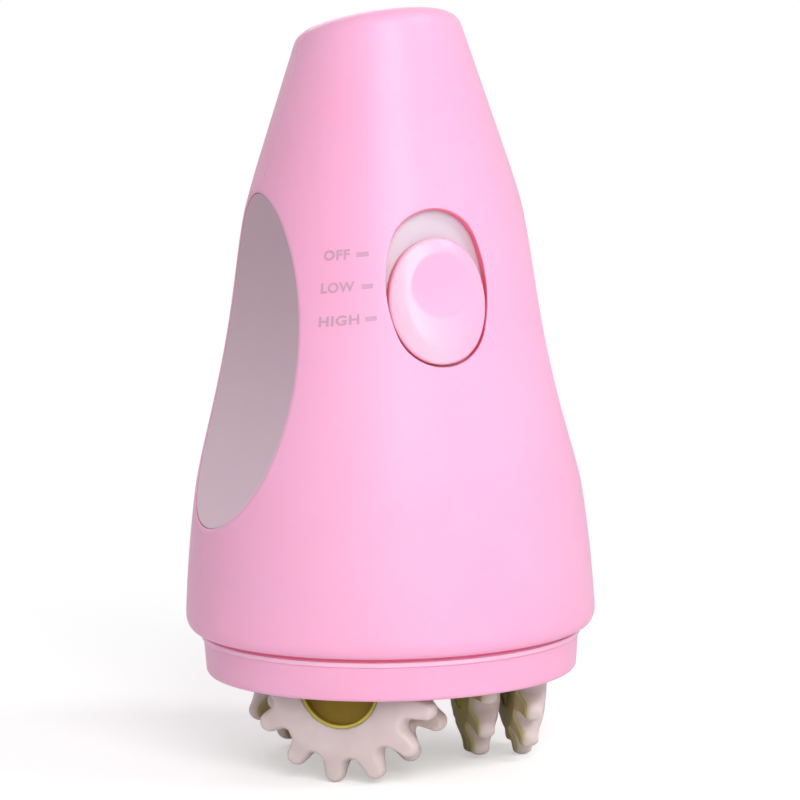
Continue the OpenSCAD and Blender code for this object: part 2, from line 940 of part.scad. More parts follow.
module output_gear() {
    color(acetal)
        difference() {
            translate([0, 0, out_gear_z])
                union() {
                    difference() {
                        rotate([0, 0, idler_turn]) gear(output_teeth, out_gear_t);
                        for (i = [0:5])
                            rotate([0, 0, i * 60])
                                translate([10.6, 0, -past])
                                    cylinder(r = 3, h = out_gear_t + 2 * past, $fn = small);
                    }
                    cylinder(r = 5.5, h = out_gear_t + 2, $fn = small);
                }
            translate([0, 0, out_gear_z - past])
                cylinder(r = shaft_d / 2 + 0.01, h = out_gear_t + 5, $fn = small);
        }
}

// Leg that carries the outer end of an axle
module leg() {
    translate([leg_rho, 0, axle_z])
        rotate([90, 0, 90])
            linear_extrude(leg_t)
                union() {
                    polygon([
                        [-leg_boss_r, 0],
                        [leg_boss_r, 0],
                        [leg_top_w / 2, disc_z0 - axle_z + 0.5],
                        [-leg_top_w / 2, disc_z0 - axle_z + 0.5],
                    ]);
                    circle(leg_boss_r, $fn = small);
                }
}

// Wedge between two roller windows, drawn in by t
module wedge(t, h) {
    apex = pad_apex + t / sin(60);
    reach = wide_r;
    linear_extrude(h)
        polygon([[apex, 0], [apex + reach, reach * tan(60)], [apex + reach, -reach * tan(60)]]);
}

// Tray between two pairs of rollers: open at the top, rounded at its lower outer edge
module sector() {
    r = rotor_r - 0.3;
    h = disc_z0 - web_z0 + 0.5;
    translate([0, 0, web_z0])
        difference() {
            intersection() {
                rotate_extrude($fn = fine)
                    polygon(concat(
                        [[0, 0]],
                        arc([r - sector_round, sector_round], sector_round, -90, 0, 5),
                        [[r, h], [0, h]]));
                wedge(0, h);
            }
            intersection() {
                translate([0, 0, pad_t]) cylinder(r = r - pad_t, h = h, $fn = fine);
                wedge(pad_t, h + 1);
            }
        }
    translate([hub_r - 2, -web_t / 2, web_z0 + 0.5])
        cube([rotor_r - hub_r + 1, web_t, disc_z0 - web_z0]);
}

module turntable() {
    color(milky)
        difference() {
            union() {
                translate([0, 0, disc_z0]) cylinder(r = rotor_r, h = disc_t, $fn = fine);
                translate([0, 0, hub_z0]) cylinder(r = hub_r, h = disc_z0 + 0.5 - hub_z0, $fn = 96);
                translate([0, 0, disc_z1 - 0.5])
                    cylinder(r = boss_r, h = chassis_z0 - 0.3 - disc_z1 + 0.5, $fn = small);
                for (t = pair_turns) {
                    rotate([0, 0, t]) leg();
                    rotate([0, 0, t + 60]) sector();
                }
            }
            // The trays are open above
            for (t = pair_turns)
                rotate([0, 0, t + 60])
                    intersection() {
                        translate([0, 0, disc_z0 - 1])
                            cylinder(r = rotor_r - 0.3 - pad_t, h = disc_t + 2, $fn = fine);
                        translate([0, 0, disc_z0 - 1]) wedge(pad_t, disc_t + 2);
                    }
            translate([0, 0, shaft_z0])
                cylinder(r = shaft_d / 2 + 0.01, h = 60, $fn = small);
            translate([0, 0, hub_z0 - past])
                cylinder(r = screw_r + 0.2, h = 60, $fn = small);
            translate([0, 0, hub_z0 - past])
                cylinder(r = hub_access_r, h = shaft_z0 - screw_web - hub_z0 + past, $fn = small);
            for (t = pair_turns)
                rotate([0, 0, t])
                    translate([hub_access_r + 2, 0, axle_z])
                        rotate([0, 90, 0])
                            cylinder(r = axle_d / 2 + 0.01, h = bore_r, $fn = small);
        }
}

module turntable_screw() {
    color(steel)
        translate([0, 0, shaft_z0 - screw_web]) {
            translate([0, 0, -head_h]) cylinder(r = head_r, h = head_h, $fn = small);
            cylinder(r = screw_r - 0.01, h = screw_web + 7, $fn = small);
        }
}

module axles() {
    color(steel)
        for (t = pair_turns)
            rotate([0, 0, t])
                translate([hub_access_r + 2.5, 0, axle_z])
                    rotate([0, 90, 0])
                        cylinder(r = axle_d / 2, h = leg_rho + leg_t + 1.3 - hub_access_r - 2.5, $fn = small);
}

// Spring clips on the outer ends of the axles
module axle_clips() {
    color(steel)
        for (t = pair_turns)
            rotate([0, 0, t])
                translate([leg_rho + leg_t + seat, 0, axle_z])
                    rotate([0, 90, 0])
                        difference() {
                            cylinder(r = axle_d / 2 + 1.2, h = 0.6, $fn = small);
                            translate([0, 0, -past])
                                cylinder(r = axle_d / 2 + 0.01, h = 3, $fn = small);
                            translate([-3, 0, -past]) cube([1.2, 0.1, 3]);
                            translate([0, -0.7, -past]) cube([5, 1.4, 3]);
                        }
}

// Bushes on the axles: between hub and inner roller, and between the rollers
module roller_spacers() {
    gaps = [
        [hub_r, inner_rho - roller_t / 2 + core_back],
        [inner_rho + roller_t / 2 - core_back, outer_rho - roller_t / 2 + core_back],
        [outer_rho + roller_t / 2 - core_back, leg_rho],
    ];
    color(acetal)
        for (t = pair_turns, g = gaps)
            rotate([0, 0, t])
                translate([g[0] + 0.15, 0, axle_z])
                    rotate([0, 90, 0])
                        difference() {
                            cylinder(r = axle_d / 2 + 1, h = g[1] - g[0] - 0.3, $fn = small);
                            translate([0, 0, -past])
                                cylinder(r = axle_d / 2 + 0.02, h = 20, $fn = small);
                        }
}

// Frame of a roller: z along the axle outwards, x straight down
module at_roller(pair, rho, turn) {
    rotate([0, 0, pair_turns[pair - 1]])
        translate([rho, 0, axle_z])
            rotate([0, 90, 0])
                rotate([0, 0, turn])
                    children();
}

// Outline of a roller: round-ended fingers with round valleys between them
function roller_points() =
    let (tip_c = roller_r - finger_r, valley_c = root_r + valley_r)
    [for (i = [0:fingers - 1], p = concat(
            arc([tip_c, 0], finger_r, -78, 78, 5),
            arc(polar(valley_c, pitch / 2), valley_r, pitch / 2 + 255, pitch / 2 + 105, 4)))
        [p[0] * cos(i * pitch) - p[1] * sin(i * pitch),
         p[0] * sin(i * pitch) + p[1] * cos(i * pitch)]];

// Fingered wheel between the heights z0 and z1, thinner towards the ends of its fingers
module wheel(z0, z1) {
    half = roller_t / 2;
    half_f = finger_t / 2;
    end_f = half_f * tip_thin;
    intersection() {
        translate([0, 0, z0])
            linear_extrude(z1 - z0)
                polygon(roller_points());
        rotate_extrude($fn = fine)
            polygon([
                [0, -half],
                [root_r - 1, -half],
                [roller_r - finger_r, -half_f],
                [roller_r - tip_drop, -end_f],
                [roller_r + seat, 0],
                [roller_r - tip_drop, end_f],
                [roller_r - finger_r, half_f],
                [root_r - 1, half],
                [0, half],
            ]);
    }
}

// Soft tread of a roller, moulded over the core and its fingers
module tyre() {
    half = roller_t / 2;
    color(milky)
        difference() {
            wheel(backing_z, half);
            translate([0, 0, backing_z - past])
                cylinder(r = core_r + seat, h = core_step - backing_z + past, $fn = fine);
            cylinder(r = spigot_core_r + seat, h = half + past, $fn = fine);
        }
}

// Rigid core of a roller: fingers on the inner side, a hub in a recess on the outer side
module core() {
    half = roller_t / 2 - core_back;
    recess_r = 8.8;
    recess = 2.4;
    back_recess = 0.8;
    boss = 3.1;
    color(lime)
        difference() {
            union() {
                wheel(-half, backing_z - seat);
                translate([0, 0, -half])
                    cylinder(r = core_r, h = half + core_step - seat, $fn = fine);
                cylinder(r = spigot_core_r, h = half, $fn = fine);
            }
            translate([0, 0, half - recess])
                difference() {
                    cylinder(r = recess_r, h = recess + past, $fn = 96);
                    translate([0, 0, -past]) cylinder(r = boss, h = recess + 3 * past, $fn = small);
                }
            translate([0, 0, -half - past])
                difference() {
                    cylinder(r = core_r - core_rim, h = back_recess + past, $fn = 96);
                    cylinder(r = boss + 1, h = back_recess + 3 * past, $fn = small);
                    for (i = [0:5])
                        rotate([0, 0, i * 60])
                            translate([0, -core_rib_t / 2, 0])
                                cube([core_r, core_rib_t, back_recess + 3 * past]);
                }
            translate([0, 0, -roller_t])
                cylinder(r = axle_d / 2 + axle_play, h = 2 * roller_t, $fn = small);
        }
}

module outer_roller_frame(pair) {
    at_roller(pair, outer_rho, -pitch / 4) children();
}

module inner_roller_frame(pair) {
    at_roller(pair, inner_rho, pitch / 4) children();
}

module outer_tyre_1() { outer_roller_frame(1) tyre(); }
module outer_core_1() { outer_roller_frame(1) core(); }
module inner_tyre_1() { inner_roller_frame(1) tyre(); }
module inner_core_1() { inner_roller_frame(1) core(); }
module outer_tyre_2() { outer_roller_frame(2) tyre(); }
module outer_core_2() { outer_roller_frame(2) core(); }
module inner_tyre_2() { inner_roller_frame(2) tyre(); }
module inner_core_2() { inner_roller_frame(2) core(); }
module outer_tyre_3() { outer_roller_frame(3) tyre(); }
module outer_core_3() { outer_roller_frame(3) core(); }
module inner_tyre_3() { inner_roller_frame(3) tyre(); }
module inner_core_3() { inner_roller_frame(3) core(); }

// Open-backed tray with a trough for each cell
module battery_tray() {
    color(black)
        difference() {
            translate([-tray_x, tray_y0, tray_z0])
                cube([2 * tray_x, cell_y - tray_y0, tray_z1 - tray_z0]);
            for (i = [-1:1])
                translate([i * cell_pitch, cell_y, tray_z0 + tray_t])
                    cylinder(r = cell_d / 2 + cell_play, h = tray_z1 - tray_z0 - 2 * tray_t, $fn = 96);
            translate([-tray_x + tray_t, cell_y - 3, tray_z0 + tray_t])
                cube([2 * tray_x - 2 * tray_t, 10, tray_z1 - tray_z0 - 2 * tray_t]);
        }
}

module battery_cells() {
    color(cell_blue)
        for (i = [-1:1])
            translate([i * cell_pitch, cell_y, i == 0 ? cell_z0 + cell_l : cell_z0])
                rotate([i == 0 ? 180 : 0, 0, 0]) {
                    cylinder(r = cell_d / 2, h = cell_l - nub_h, $fn = 96);
                    cylinder(r = nub_r, h = cell_l, $fn = small);
                }
}

// Spring-steel strips at both ends of the cells
module battery_contacts() {
    strip = 9;
    color(steel) {
        for (i = [-1:1])
            translate([i * cell_pitch - strip / 2, cell_y - strip / 2, tray_z1 - tray_t - contact_t])
                cube([strip, strip, contact_t]);
        for (i = [-1:1])
            translate([i * cell_pitch - strip / 2, cell_y - strip / 2, tray_z0 + tray_t])
                cube([strip, strip, contact_t]);
    }
}

// Conical coil springs under the cells
spring_wire = 0.5;
spring_turns = 2.5;
spring_steps = 16;
spring_sides = 6;
spring_wide_r = 4;
spring_narrow_r = 2;
spring_rings = spring_turns * spring_steps;
spring_free_h = spring_h - contact_t - spring_wire - 2 * seat;
function spring_c(k) =
    let (s = k / spring_rings, r = spring_wide_r + (spring_narrow_r - spring_wide_r) * s)
    [r * cos(k * 360 / spring_steps), r * sin(k * 360 / spring_steps), s * spring_free_h];
function spring_ring(k) =
    let (c = spring_c(k), a = k * 360 / spring_steps)
    [for (j = [0:spring_sides - 1])
        c + spring_wire / 2 * [
            cos(j * 360 / spring_sides) * cos(a),
            cos(j * 360 / spring_sides) * sin(a),
            sin(j * 360 / spring_sides)]];

module coil() {
    points = [for (k = [0:spring_rings]) each spring_ring(k)];
    walls = [for (k = [0:spring_rings - 1], j = [0:spring_sides - 1], half = [0, 1])
        let (
            a = k * spring_sides + j,
            b = k * spring_sides + (j + 1) % spring_sides)
        half == 0 ? [a, a + spring_sides, b] : [b, a + spring_sides, b + spring_sides]];
    last = spring_rings * spring_sides;
    ends = concat(
        [for (j = [1:spring_sides - 2]) [0, j, j + 1]],
        [for (j = [1:spring_sides - 2]) [last, last + j + 1, last + j]]);
    polyhedron(points = points, faces = concat(walls, ends));
}

module battery_springs() {
    color(steel)
        for (i = [-1:1])
            translate([
                i * cell_pitch,
                cell_y,
                tray_z0 + tray_t + contact_t + spring_wire / 2 + seat])
                coil();
}

// Curved plate behind the window, with the slot for the switch lever
module switch_plate() {
    color(plate_grey)
        at_window()
            difference() {
                intersection() {
                    window_prism(plate_edge, -12, 0);
                    slide_skin(plate_depth + seat);
                }
                slide_skin(plate_depth + seat + plate_t);
                translate([-lever_w / 2 - 0.4, -(lever_w + switch_travel) / 2 - 0.4, -20])
                    cube([lever_w + 0.8, lever_w + switch_travel + 0.8, 30]);
            }
}

// Height of the button's face before its edge is rounded
function dish(x, y) =
    let (r = norm([x, y] - dish_xy))
    r < dish_rim_r ? dish_depth * (1 + cos(180 * r / dish_rim_r)) / 2 : 0;
function face_z(x, y) = sqrt(pow(window_r + button_proud, 2) - x * x) - window_r - dish(x, y);

// Outline of the button drawn in by t, and the rings of its face from the edge to the hollow
function button_outline(t) =
    [for (p = oval(button_w - 2 * t, button_h - 2 * t, button_end_r - t)) p + [0, button_y]];
edge_steps = 4;
face_steps = 9;
function edge_ring(k) =
    let (a = 90 * k / edge_steps)
    [for (p = button_outline(button_round * (1 - cos(a))))
        [p[0], p[1], face_z(p[0], p[1]) - button_drop * (1 - sin(a))]];
function face_ring(k) =
    [for (p = button_outline(button_round))
        let (q = p + (dish_xy - p) * k / face_steps) [q[0], q[1], face_z(q[0], q[1])]];

// Oval block with a rounded edge and a round thumb hollow
module button_block() {
    foot = [for (p = button_outline(0)) [p[0], p[1], -10]];
    n = len(foot);
    rings = concat(
        [foot],
        [for (k = [0:edge_steps]) edge_ring(k)],
        [for (k = [1:face_steps - 1]) face_ring(k)]);
    middle = n * len(rings);
    sides = [for (k = [0:len(rings) - 2], i = [0:n - 1], half = [0, 1])
        let (a = k * n + i, b = k * n + (i + 1) % n)
        half == 0 ? [a, a + n, b] : [b, a + n, b + n]];
    tip = [for (i = [0:n - 1]) [middle - n + i, middle, middle - n + (i + 1) % n]];
    polyhedron(
        points = concat([for (r = rings) each r], [[dish_xy[0], dish_xy[1], face_z(dish_xy[0], dish_xy[1])]]),
        faces = concat([[for (i = [0:n - 1]) i]], sides, tip));
}

// Thumb button, shown at the lower end of its travel
module switch_button() {
    color(pink)
        at_window()
            difference() {
                button_block();
                slide_skin(button_under);
                translate([
                    -lever_w / 2 - lever_play,
                    button_y - lever_w / 2 - lever_play,
                    -10 - past])
                    cube([
                        lever_w + 2 * lever_play,
                        lever_w + 2 * lever_play,
                        10 + past - button_under + lever_in]);
            }
}

module switch_lever() {
    color(black)
        at_window()
            translate([-lever_w / 2, button_y - lever_w / 2, -lever_reach])
                cube([lever_w, lever_w, lever_reach - button_under + lever_in - lever_play]);
}

module slide_switch() {
    color(dark)
        at_window()
            difference() {
                union() {
                    translate([-switch_w / 2, -switch_l / 2, switch_z - switch_t])
                        cube([switch_w, switch_l, switch_t]);
                    for (k = [-1:1])
                        translate([-0.3, k * 6 - 1, switch_z - switch_t - 3.5])
                            cube([0.6, 2, 4]);
                }
                translate([-lever_w / 2 - 0.3, -(lever_w + switch_travel) / 2 - 0.3, -lever_reach - 0.4])
                    cube([lever_w + 0.6, lever_w + switch_travel + 0.6, lever_reach]);
            }
}

// Screw with its head on z = 0 and its shank along +z
module screw(length, r) {
    translate([0, 0, -head_h]) cylinder(r = head_r, h = head_h, $fn = small);
    cylinder(r = r, h = length, $fn = small);
}

module shell_screws() {
    color(steel)
        for (p = shell_screws_xz)
            translate([p[0], shell_head_y + head_h, p[1]])
                rotate([90, 0, 0])
                    screw(shell_screw_l, screw_r - 0.01);
}

module ring_screws() {
    color(steel)
        for (t = ring_screw_turns)
            rotate([0, 0, t])
                translate([ring_screw_rho, 0, flange_z0]) {
                    cylinder(r1 = head_r, r2 = screw_r - 0.01, h = head_h - 0.1, $fn = small);
                    cylinder(r = screw_r - 0.01, h = ring_screw_l, $fn = small);
                }
}

module gearbox_screws() {
    color(steel)
        for (t = post_turns)
            rotate([0, 0, t])
                translate([post_rho, 0, plate_z1 + seat])
                    mirror([0, 0, 1])
                        screw(motor_plate_t + 7, screw_r - 0.01);
}

front_shell();
rear_shell();
left_grip();
right_grip();
base_ring();
chassis();
motor_plate();
motor();
motor_screws();
shaft_bush();
idler_pin();
battery_tray();
battery_cells();
battery_contacts();
battery_springs();
switch_plate();
slide_switch();
shell_screws();
ring_screws();
gearbox_screws();
battery_door();
switch_button();
switch_lever();
turntable();
output_shaft();
output_gear();
turntable_screw();
axles();
axle_clips();
roller_spacers();
motor_pinion();
motor_shaft();
idler_gear();
outer_tyre_1();
outer_core_1();
inner_tyre_1();
inner_core_1();
outer_tyre_2();
outer_core_2();
inner_tyre_2();
inner_core_2();
outer_tyre_3();
outer_core_3();
inner_tyre_3();
inner_core_3();
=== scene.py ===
import json
from math import asin, atan2, cos, pi, radians, sin, sqrt, tan

import bmesh
import bpy
import numpy as np
from mathutils import Matrix, Vector
from mathutils.kdtree import KDTree


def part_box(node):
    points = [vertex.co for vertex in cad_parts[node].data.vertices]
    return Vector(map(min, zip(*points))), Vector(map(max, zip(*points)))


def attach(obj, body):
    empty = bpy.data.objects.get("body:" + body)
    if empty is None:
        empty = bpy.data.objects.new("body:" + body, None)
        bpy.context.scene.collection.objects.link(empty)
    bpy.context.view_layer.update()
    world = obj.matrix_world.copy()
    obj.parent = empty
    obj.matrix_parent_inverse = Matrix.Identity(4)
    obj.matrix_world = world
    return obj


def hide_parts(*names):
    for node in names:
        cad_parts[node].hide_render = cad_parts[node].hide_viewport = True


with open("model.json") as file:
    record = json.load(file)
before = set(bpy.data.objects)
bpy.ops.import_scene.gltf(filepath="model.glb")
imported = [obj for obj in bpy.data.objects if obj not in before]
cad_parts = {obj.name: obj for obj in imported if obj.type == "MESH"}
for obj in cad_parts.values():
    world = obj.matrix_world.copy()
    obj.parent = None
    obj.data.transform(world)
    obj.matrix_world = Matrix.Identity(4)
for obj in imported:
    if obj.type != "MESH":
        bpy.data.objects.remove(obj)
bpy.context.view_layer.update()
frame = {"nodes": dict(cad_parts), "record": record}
scene = bpy.context.scene
mm = 0.001


def placed(name, data):
    piece = bpy.data.objects.new(name, data)
    scene.collection.objects.link(piece)
    return piece


# camera

camera = {
    "azimuth": -21.0,  # seen from the left of the switch
    "elevation": 9.5,
    "roll": -1.0,
    "distance": 3.0,
    "pixelsPerMetre": 3956.0,
    "picture": 800,  # pixels across
    "aimHeight": 0.09208,
    "aimRight": 0.00334,
    "sensor": 36.0,
    "clip": (0.1, 20),
}


def makeCamera():
    az, el = radians(camera["azimuth"]), radians(camera["elevation"])
    back = Vector((sin(az) * cos(el), -cos(az) * cos(el), sin(el)))
    right = Vector((cos(az), sin(az), 0))
    aim = Vector((0, 0, camera["aimHeight"])) + right * camera["aimRight"]
    data = bpy.data.cameras.new("photoCamera")
    data.sensor_width = camera["sensor"]
    data.lens = camera["distance"] * camera["pixelsPerMetre"] / camera["picture"] * camera["sensor"]
    data.clip_start, data.clip_end = camera["clip"]
    cam = placed("photoCamera", data)
    cam.rotation_mode = "QUATERNION"
    cam.location = aim + back * camera["distance"]
    turn = (-back).to_track_quat("-Z", "Y")
    cam.rotation_quaternion = turn @ Matrix.Rotation(radians(camera["roll"]), 4, "Z").to_quaternion()
    scene.camera = cam


makeCamera()
print("camera placed")


# the flank of the housing, in millimetres

housing = {
    "footZ": 34.7323,  # lower edge of the two shells
    "roundHeight": 4.0,
    "roundIn": 2.4,
    "wideRadius": 51.8,
    "lowBow": 44.5,
    "straight": 36.0,
    "highBow": 35.5,
    "coneHeight": 34.0,
    "footSlope": 2.5,
    "flankSlope": 10.5,
    "coneSlope": 18.0,
    "topSlant": 20.0,
    "rimRound": 4.5,
    "wall": 2.5,
    "mouthRadius": 47.4,
    "mouthHigh": 45.8,  # the mouth takes the spigot of the base ring up to here
    "seamGap": 0.075,  # half of the gap between the shells
    "seamRound": 0.28,
    "seamClear": 0.6,  # the inside of the wall keeps this far from the seam
}


def deg(f, a):
    return f(radians(a))


def xyz(x, y, z):
    return np.stack(np.broadcast_arrays(x, y, z), -1)


footA, flankA, coneA, slant = (radians(housing[name]) for name in ("footSlope", "flankSlope", "coneSlope", "topSlant"))
wideR, wall = housing["wideRadius"], housing["wall"]
wideZ = housing["footZ"] + housing["roundHeight"]
bow1Z = wideZ + housing["lowBow"]
bow2Z = bow1Z + housing["straight"]
coneZ = bow2Z + housing["highBow"]
topZ = coneZ + housing["coneHeight"]
lowBowR = housing["lowBow"] / (sin(flankA) - sin(footA))
highBowR = housing["highBow"] / (sin(coneA) - sin(flankA))
bow1R = wideR - lowBowR * (cos(footA) - cos(flankA))
bow2R = bow1R - housing["straight"] * tan(flankA)
coneR = bow2R - highBowR * (cos(flankA) - cos(coneA))


def bySection(z, foot, low, straight, high, cone):
    return np.select([z <= wideZ, z < bow1Z, z <= bow2Z, z < coneZ], [foot, low, straight, high], cone)


def flankSlope(z):
    z = np.asarray(z, float)
    low = np.arcsin(np.clip(sin(footA) + (z - wideZ) / lowBowR, -1, 1))
    high = np.arcsin(np.clip(sin(flankA) + (z - bow2Z) / highBowR, -1, 1))
    return bySection(z, footA, low, flankA, high, coneA)


def flankRadius(z):
    z = np.asarray(z, float)
    a = np.cos(flankSlope(z))
    return bySection(z, wideR, wideR - lowBowR * (cos(footA) - a), bow1R - (z - bow1Z) * tan(flankA),
                     bow2R - highBowR * (cos(flankA) - a), coneR - (z - coneZ) * tan(coneA))


def flankNormal(points):
    x, y, z = np.moveaxis(points, -1, 0)
    a = flankSlope(z)
    rho = np.maximum(np.hypot(x, y), 1e-9)
    return xyz(x / rho * np.cos(a), y / rho * np.cos(a), np.sin(a))


# mesh helpers

def smoothed(name, mesh, smooth=35):
    mesh.shade_smooth()
    mesh.set_sharp_from_angle(angle=radians(smooth))
    return placed(name, mesh)


def makeObject(name, verts, faces, smooth=35, weld=1e-6):
    # without a weld distance the faces keep the way they point
    mesh = bpy.data.meshes.new(name)
    mesh.from_pydata([tuple(v) for v in verts], [], [tuple(f) for f in faces])
    work = bmesh.new()
    work.from_mesh(mesh)
    bmesh.ops.remove_doubles(work, verts=work.verts, dist=weld)
    bmesh.ops.dissolve_degenerate(work, edges=work.edges, dist=weld)
    if weld:
        bmesh.ops.recalc_face_normals(work, faces=work.faces)
    work.to_mesh(mesh)
    work.free()
    return smoothed(name, mesh, smooth)


def joined(name, pieces):
    work = bmesh.new()
    for piece in pieces:
        work.from_mesh(piece.data)
        bpy.data.meshes.remove(piece.data)
    mesh = bpy.data.meshes.new(name)
    work.to_mesh(mesh)
    work.free()
    return smoothed(name, mesh)


def evaluated(piece):
    bpy.context.view_layer.update()
    return bpy.data.meshes.new_from_object(piece.evaluated_get(bpy.context.evaluated_depsgraph_get()))


def settled(piece):
    # what the modifiers make of a piece becomes its plain mesh
    mesh = evaluated(piece)
    piece.modifiers.clear()
    old, piece.data = piece.data, mesh
    bpy.data.meshes.remove(old)
    return piece


def spots(piece):
    # the points of a mesh, in millimetres
    flat = np.empty(len(piece.data.vertices) * 3)
    piece.data.vertices.foreach_get("co", flat)
    return flat.reshape(-1, 3) / mm


def mark(piece, name, values):
    piece.data.attributes.new(name, "FLOAT", "POINT").data.foreach_set("value", np.array(values, np.float32))


def treeOf(points):
    tree = KDTree(len(points))
    for k, point in enumerate(points):
        tree.insert(point, k)
    tree.balance()
    return tree


def weldMap(points, near):
    # the first of each group of points that lie together, and where every point goes
    tree = treeOf(points)
    back, first = np.full(len(points), -1), []
    for k, point in enumerate(points):
        if back[k] < 0:
            for _, other, _ in tree.find_range(point, near):
                if back[other] < 0:
                    back[other] = len(first)
            first.append(k)
    return first, back


def gridFaces(rows, cols, closed, base=0):
    return [(base + r * cols + c, base + r * cols + (c + 1) % cols,
             base + (r + 1) * cols + (c + 1) % cols, base + (r + 1) * cols + c)
            for r in range(rows - 1) for c in range(cols if closed else cols - 1)]


def gridObject(name, grid, closed=False, smooth=35):
    grid = np.array(grid)
    return makeObject(name, grid.reshape(-1, 3) * mm, gridFaces(*grid.shape[:2], closed), smooth)


def thickSheet(name, grids):
    # grids: rows of outer and inner points, and whether the rows run all the way round
    outer, inner, sheet = [], [], []
    for pairs, closed in grids:
        pairs = np.array(pairs)
        sheet += gridFaces(len(pairs), pairs.shape[2], closed, len(outer))
        outer += list(pairs[:, 0].reshape(-1, 3))
        inner += list(pairs[:, 1].reshape(-1, 3))
    first, back = weldMap(outer, 0.004)
    verts = np.concatenate([np.array(outer)[first], np.array(inner)[first]]) * mm
    shift = len(first)
    faces, edges = [], {}
    for face in sheet:
        loop = list(dict.fromkeys(int(back[k]) for k in face))
        if len(loop) < 3:
            continue
        faces += [loop, [k + shift for k in reversed(loop)]]
        for a, b in zip(loop, loop[1:] + loop[:1]):
            edges.setdefault((min(a, b), max(a, b)), []).append((a, b))
    faces += [[b, a, a + shift, b + shift] for (a, b), *more in edges.values() if not more]
    return makeObject(name, verts, faces, weld=1e-7)


def bezier(a, b, c, t):
    return (1 - t) ** 2 * a + 2 * t * (1 - t) * b + t * t * c


def curve(a, b, c, steps):
    # points from a to c, rounded towards b, without the first
    return [bezier(a, b, c, t) for t in np.linspace(0, 1, steps + 1)[1:]]


def lerp(a, b, t):
    return a + (b - a) * t


def walled(surface, places):
    # points of a surface, each with its partner on the inner side of the wall
    return [(points, points - n * wall) for points, n in (surface(*place) for place in places)]


def between(near, far, steps):
    # outlines on the way from near to far, as pairs of coordinates
    near, far = np.array(near), np.array(far)
    return [lerp(near, far, t) for t in steps]


def smoothStep(t):
    t = np.clip(t, 0, 1)
    return t * t * (3 - 2 * t)


# shells

shells = {
    "blockLow": 56.0,  # the hollow, the window and the door lie between these heights
    "blockHigh": 156.0,
    "blockTurn": 46.0,  # degrees from the seam to the edge of a hollow's block
    "seamSteps": [0.0, 0.03, 0.08, 0.15, 0.28, 0.8],
    "seamTurn": 2.2,  # degrees from the seam to the first plain column
    "columnsSide": 24,
    "columnsMiddle": 64,
    "rows": 84,
    "footRows": 9,
    "crownRows": 12,
    "topRows": 18,
    "scoopRadius": 131.0,
    "scoopX": 162.725,
    "scoopAxisZ": 129.038,
    "scoopMiddleZ": 105.6,
    "scoopRound": 0.6,
    "scoopRings": (3.0, 1.6),  # rings of points round the hollow, at these distances from its edge
    "lip": 0.75,
    "pocket": 2.05,  # depth of the seat of the pad
    "pocketWall": 3.85,
    "windowZ": 126.2323,
    "windowWidth": 26.9,
    "windowHeight": 39.5,
    "windowEnd": 0.453,  # radius of the window's ends, as a share of its width
    "windowRound": 0.45,
    "windowRings": (4.0, 2.6, 1.6, 0.9),
    "windowCrowd": 1.15,  # above 1 the rows crowd towards the window
    "deepShare": 0.02,  # the wall of the window lies this near to its outline
    "deepFrom": 0.5,
    "plateDepth": 3.2,
    "doorLow": 80.7323,
    "doorWidth": 47.0,
    "doorHeight": 56.0,
    "doorGap": 0.35,
    "doorTopGap": 0.8,
    "doorRound": 0.35,
    "doorCorner": 8.0,
    "doorFoot": 1.2,
    "ledge": 1.6,
    "ledgeDepth": 1.2,
    "hookOpen": 0.05,  # the ledge stops at the lower edge, where the hooks go through
}
seam = housing["seamGap"]
windowSlope = float(flankSlope(shells["windowZ"]))
windowR = float(flankRadius(shells["windowZ"]))
windowAxes = np.array([
    [1, 0, 0],
    [0, sin(windowSlope), cos(windowSlope)],
    [0, -cos(windowSlope), sin(windowSlope)],
])
windowOrigin = np.array([0, -windowR, shells["windowZ"]])
blockRows = np.linspace(shells["blockHigh"], shells["blockLow"], shells["rows"])


def columnTurn(column, rho):
    # column: a distance from the near or the far seam, or a turn in degrees
    kind, value = column
    if kind == "turn":
        return radians(value)
    near = asin((seam + value) / rho)
    return near if kind == "near" else pi - near


def turns(first, last, count):
    return [("turn", t) for t in np.linspace(first, last, count)]


leftColumns = [("near", d) for d in shells["seamSteps"]]
leftColumns += turns(shells["seamTurn"], shells["blockTurn"], shells["columnsSide"])
rightColumns = [("turn", 180 - value) if kind == "turn" else ("far", value) for kind, value in reversed(leftColumns)]
middleColumns = turns(shells["blockTurn"], 180 - shells["blockTurn"], shells["columnsMiddle"])[1:-1]
allColumns = leftColumns + middleColumns + rightColumns


def outwards(column, rho, side):
    turn = columnTurn(column, rho)
    return np.array([-cos(turn), side * sin(turn), 0])


def seamDrop(points, normals):
    d, r = np.abs(points[..., 1]) - seam, housing["seamRound"]
    drop = np.where(d < r, r - np.sqrt(np.maximum(r * r - (r - np.clip(d, 0, r)) ** 2, 0)), 0)
    return points - normals * drop[..., None]


def seamed(rows, side):
    # rows of (point, normal, inner point): the outside rounds off at the seam, the inside keeps clear of it
    points, normals, inner = np.moveaxis(np.array(rows, float), -2, 0)
    held = np.minimum(np.abs(points[..., 1]), housing["seamClear"])
    inner[..., 1] = side * np.maximum(np.abs(inner[..., 1]), held)
    return np.stack([seamDrop(points, normals), inner], 1)


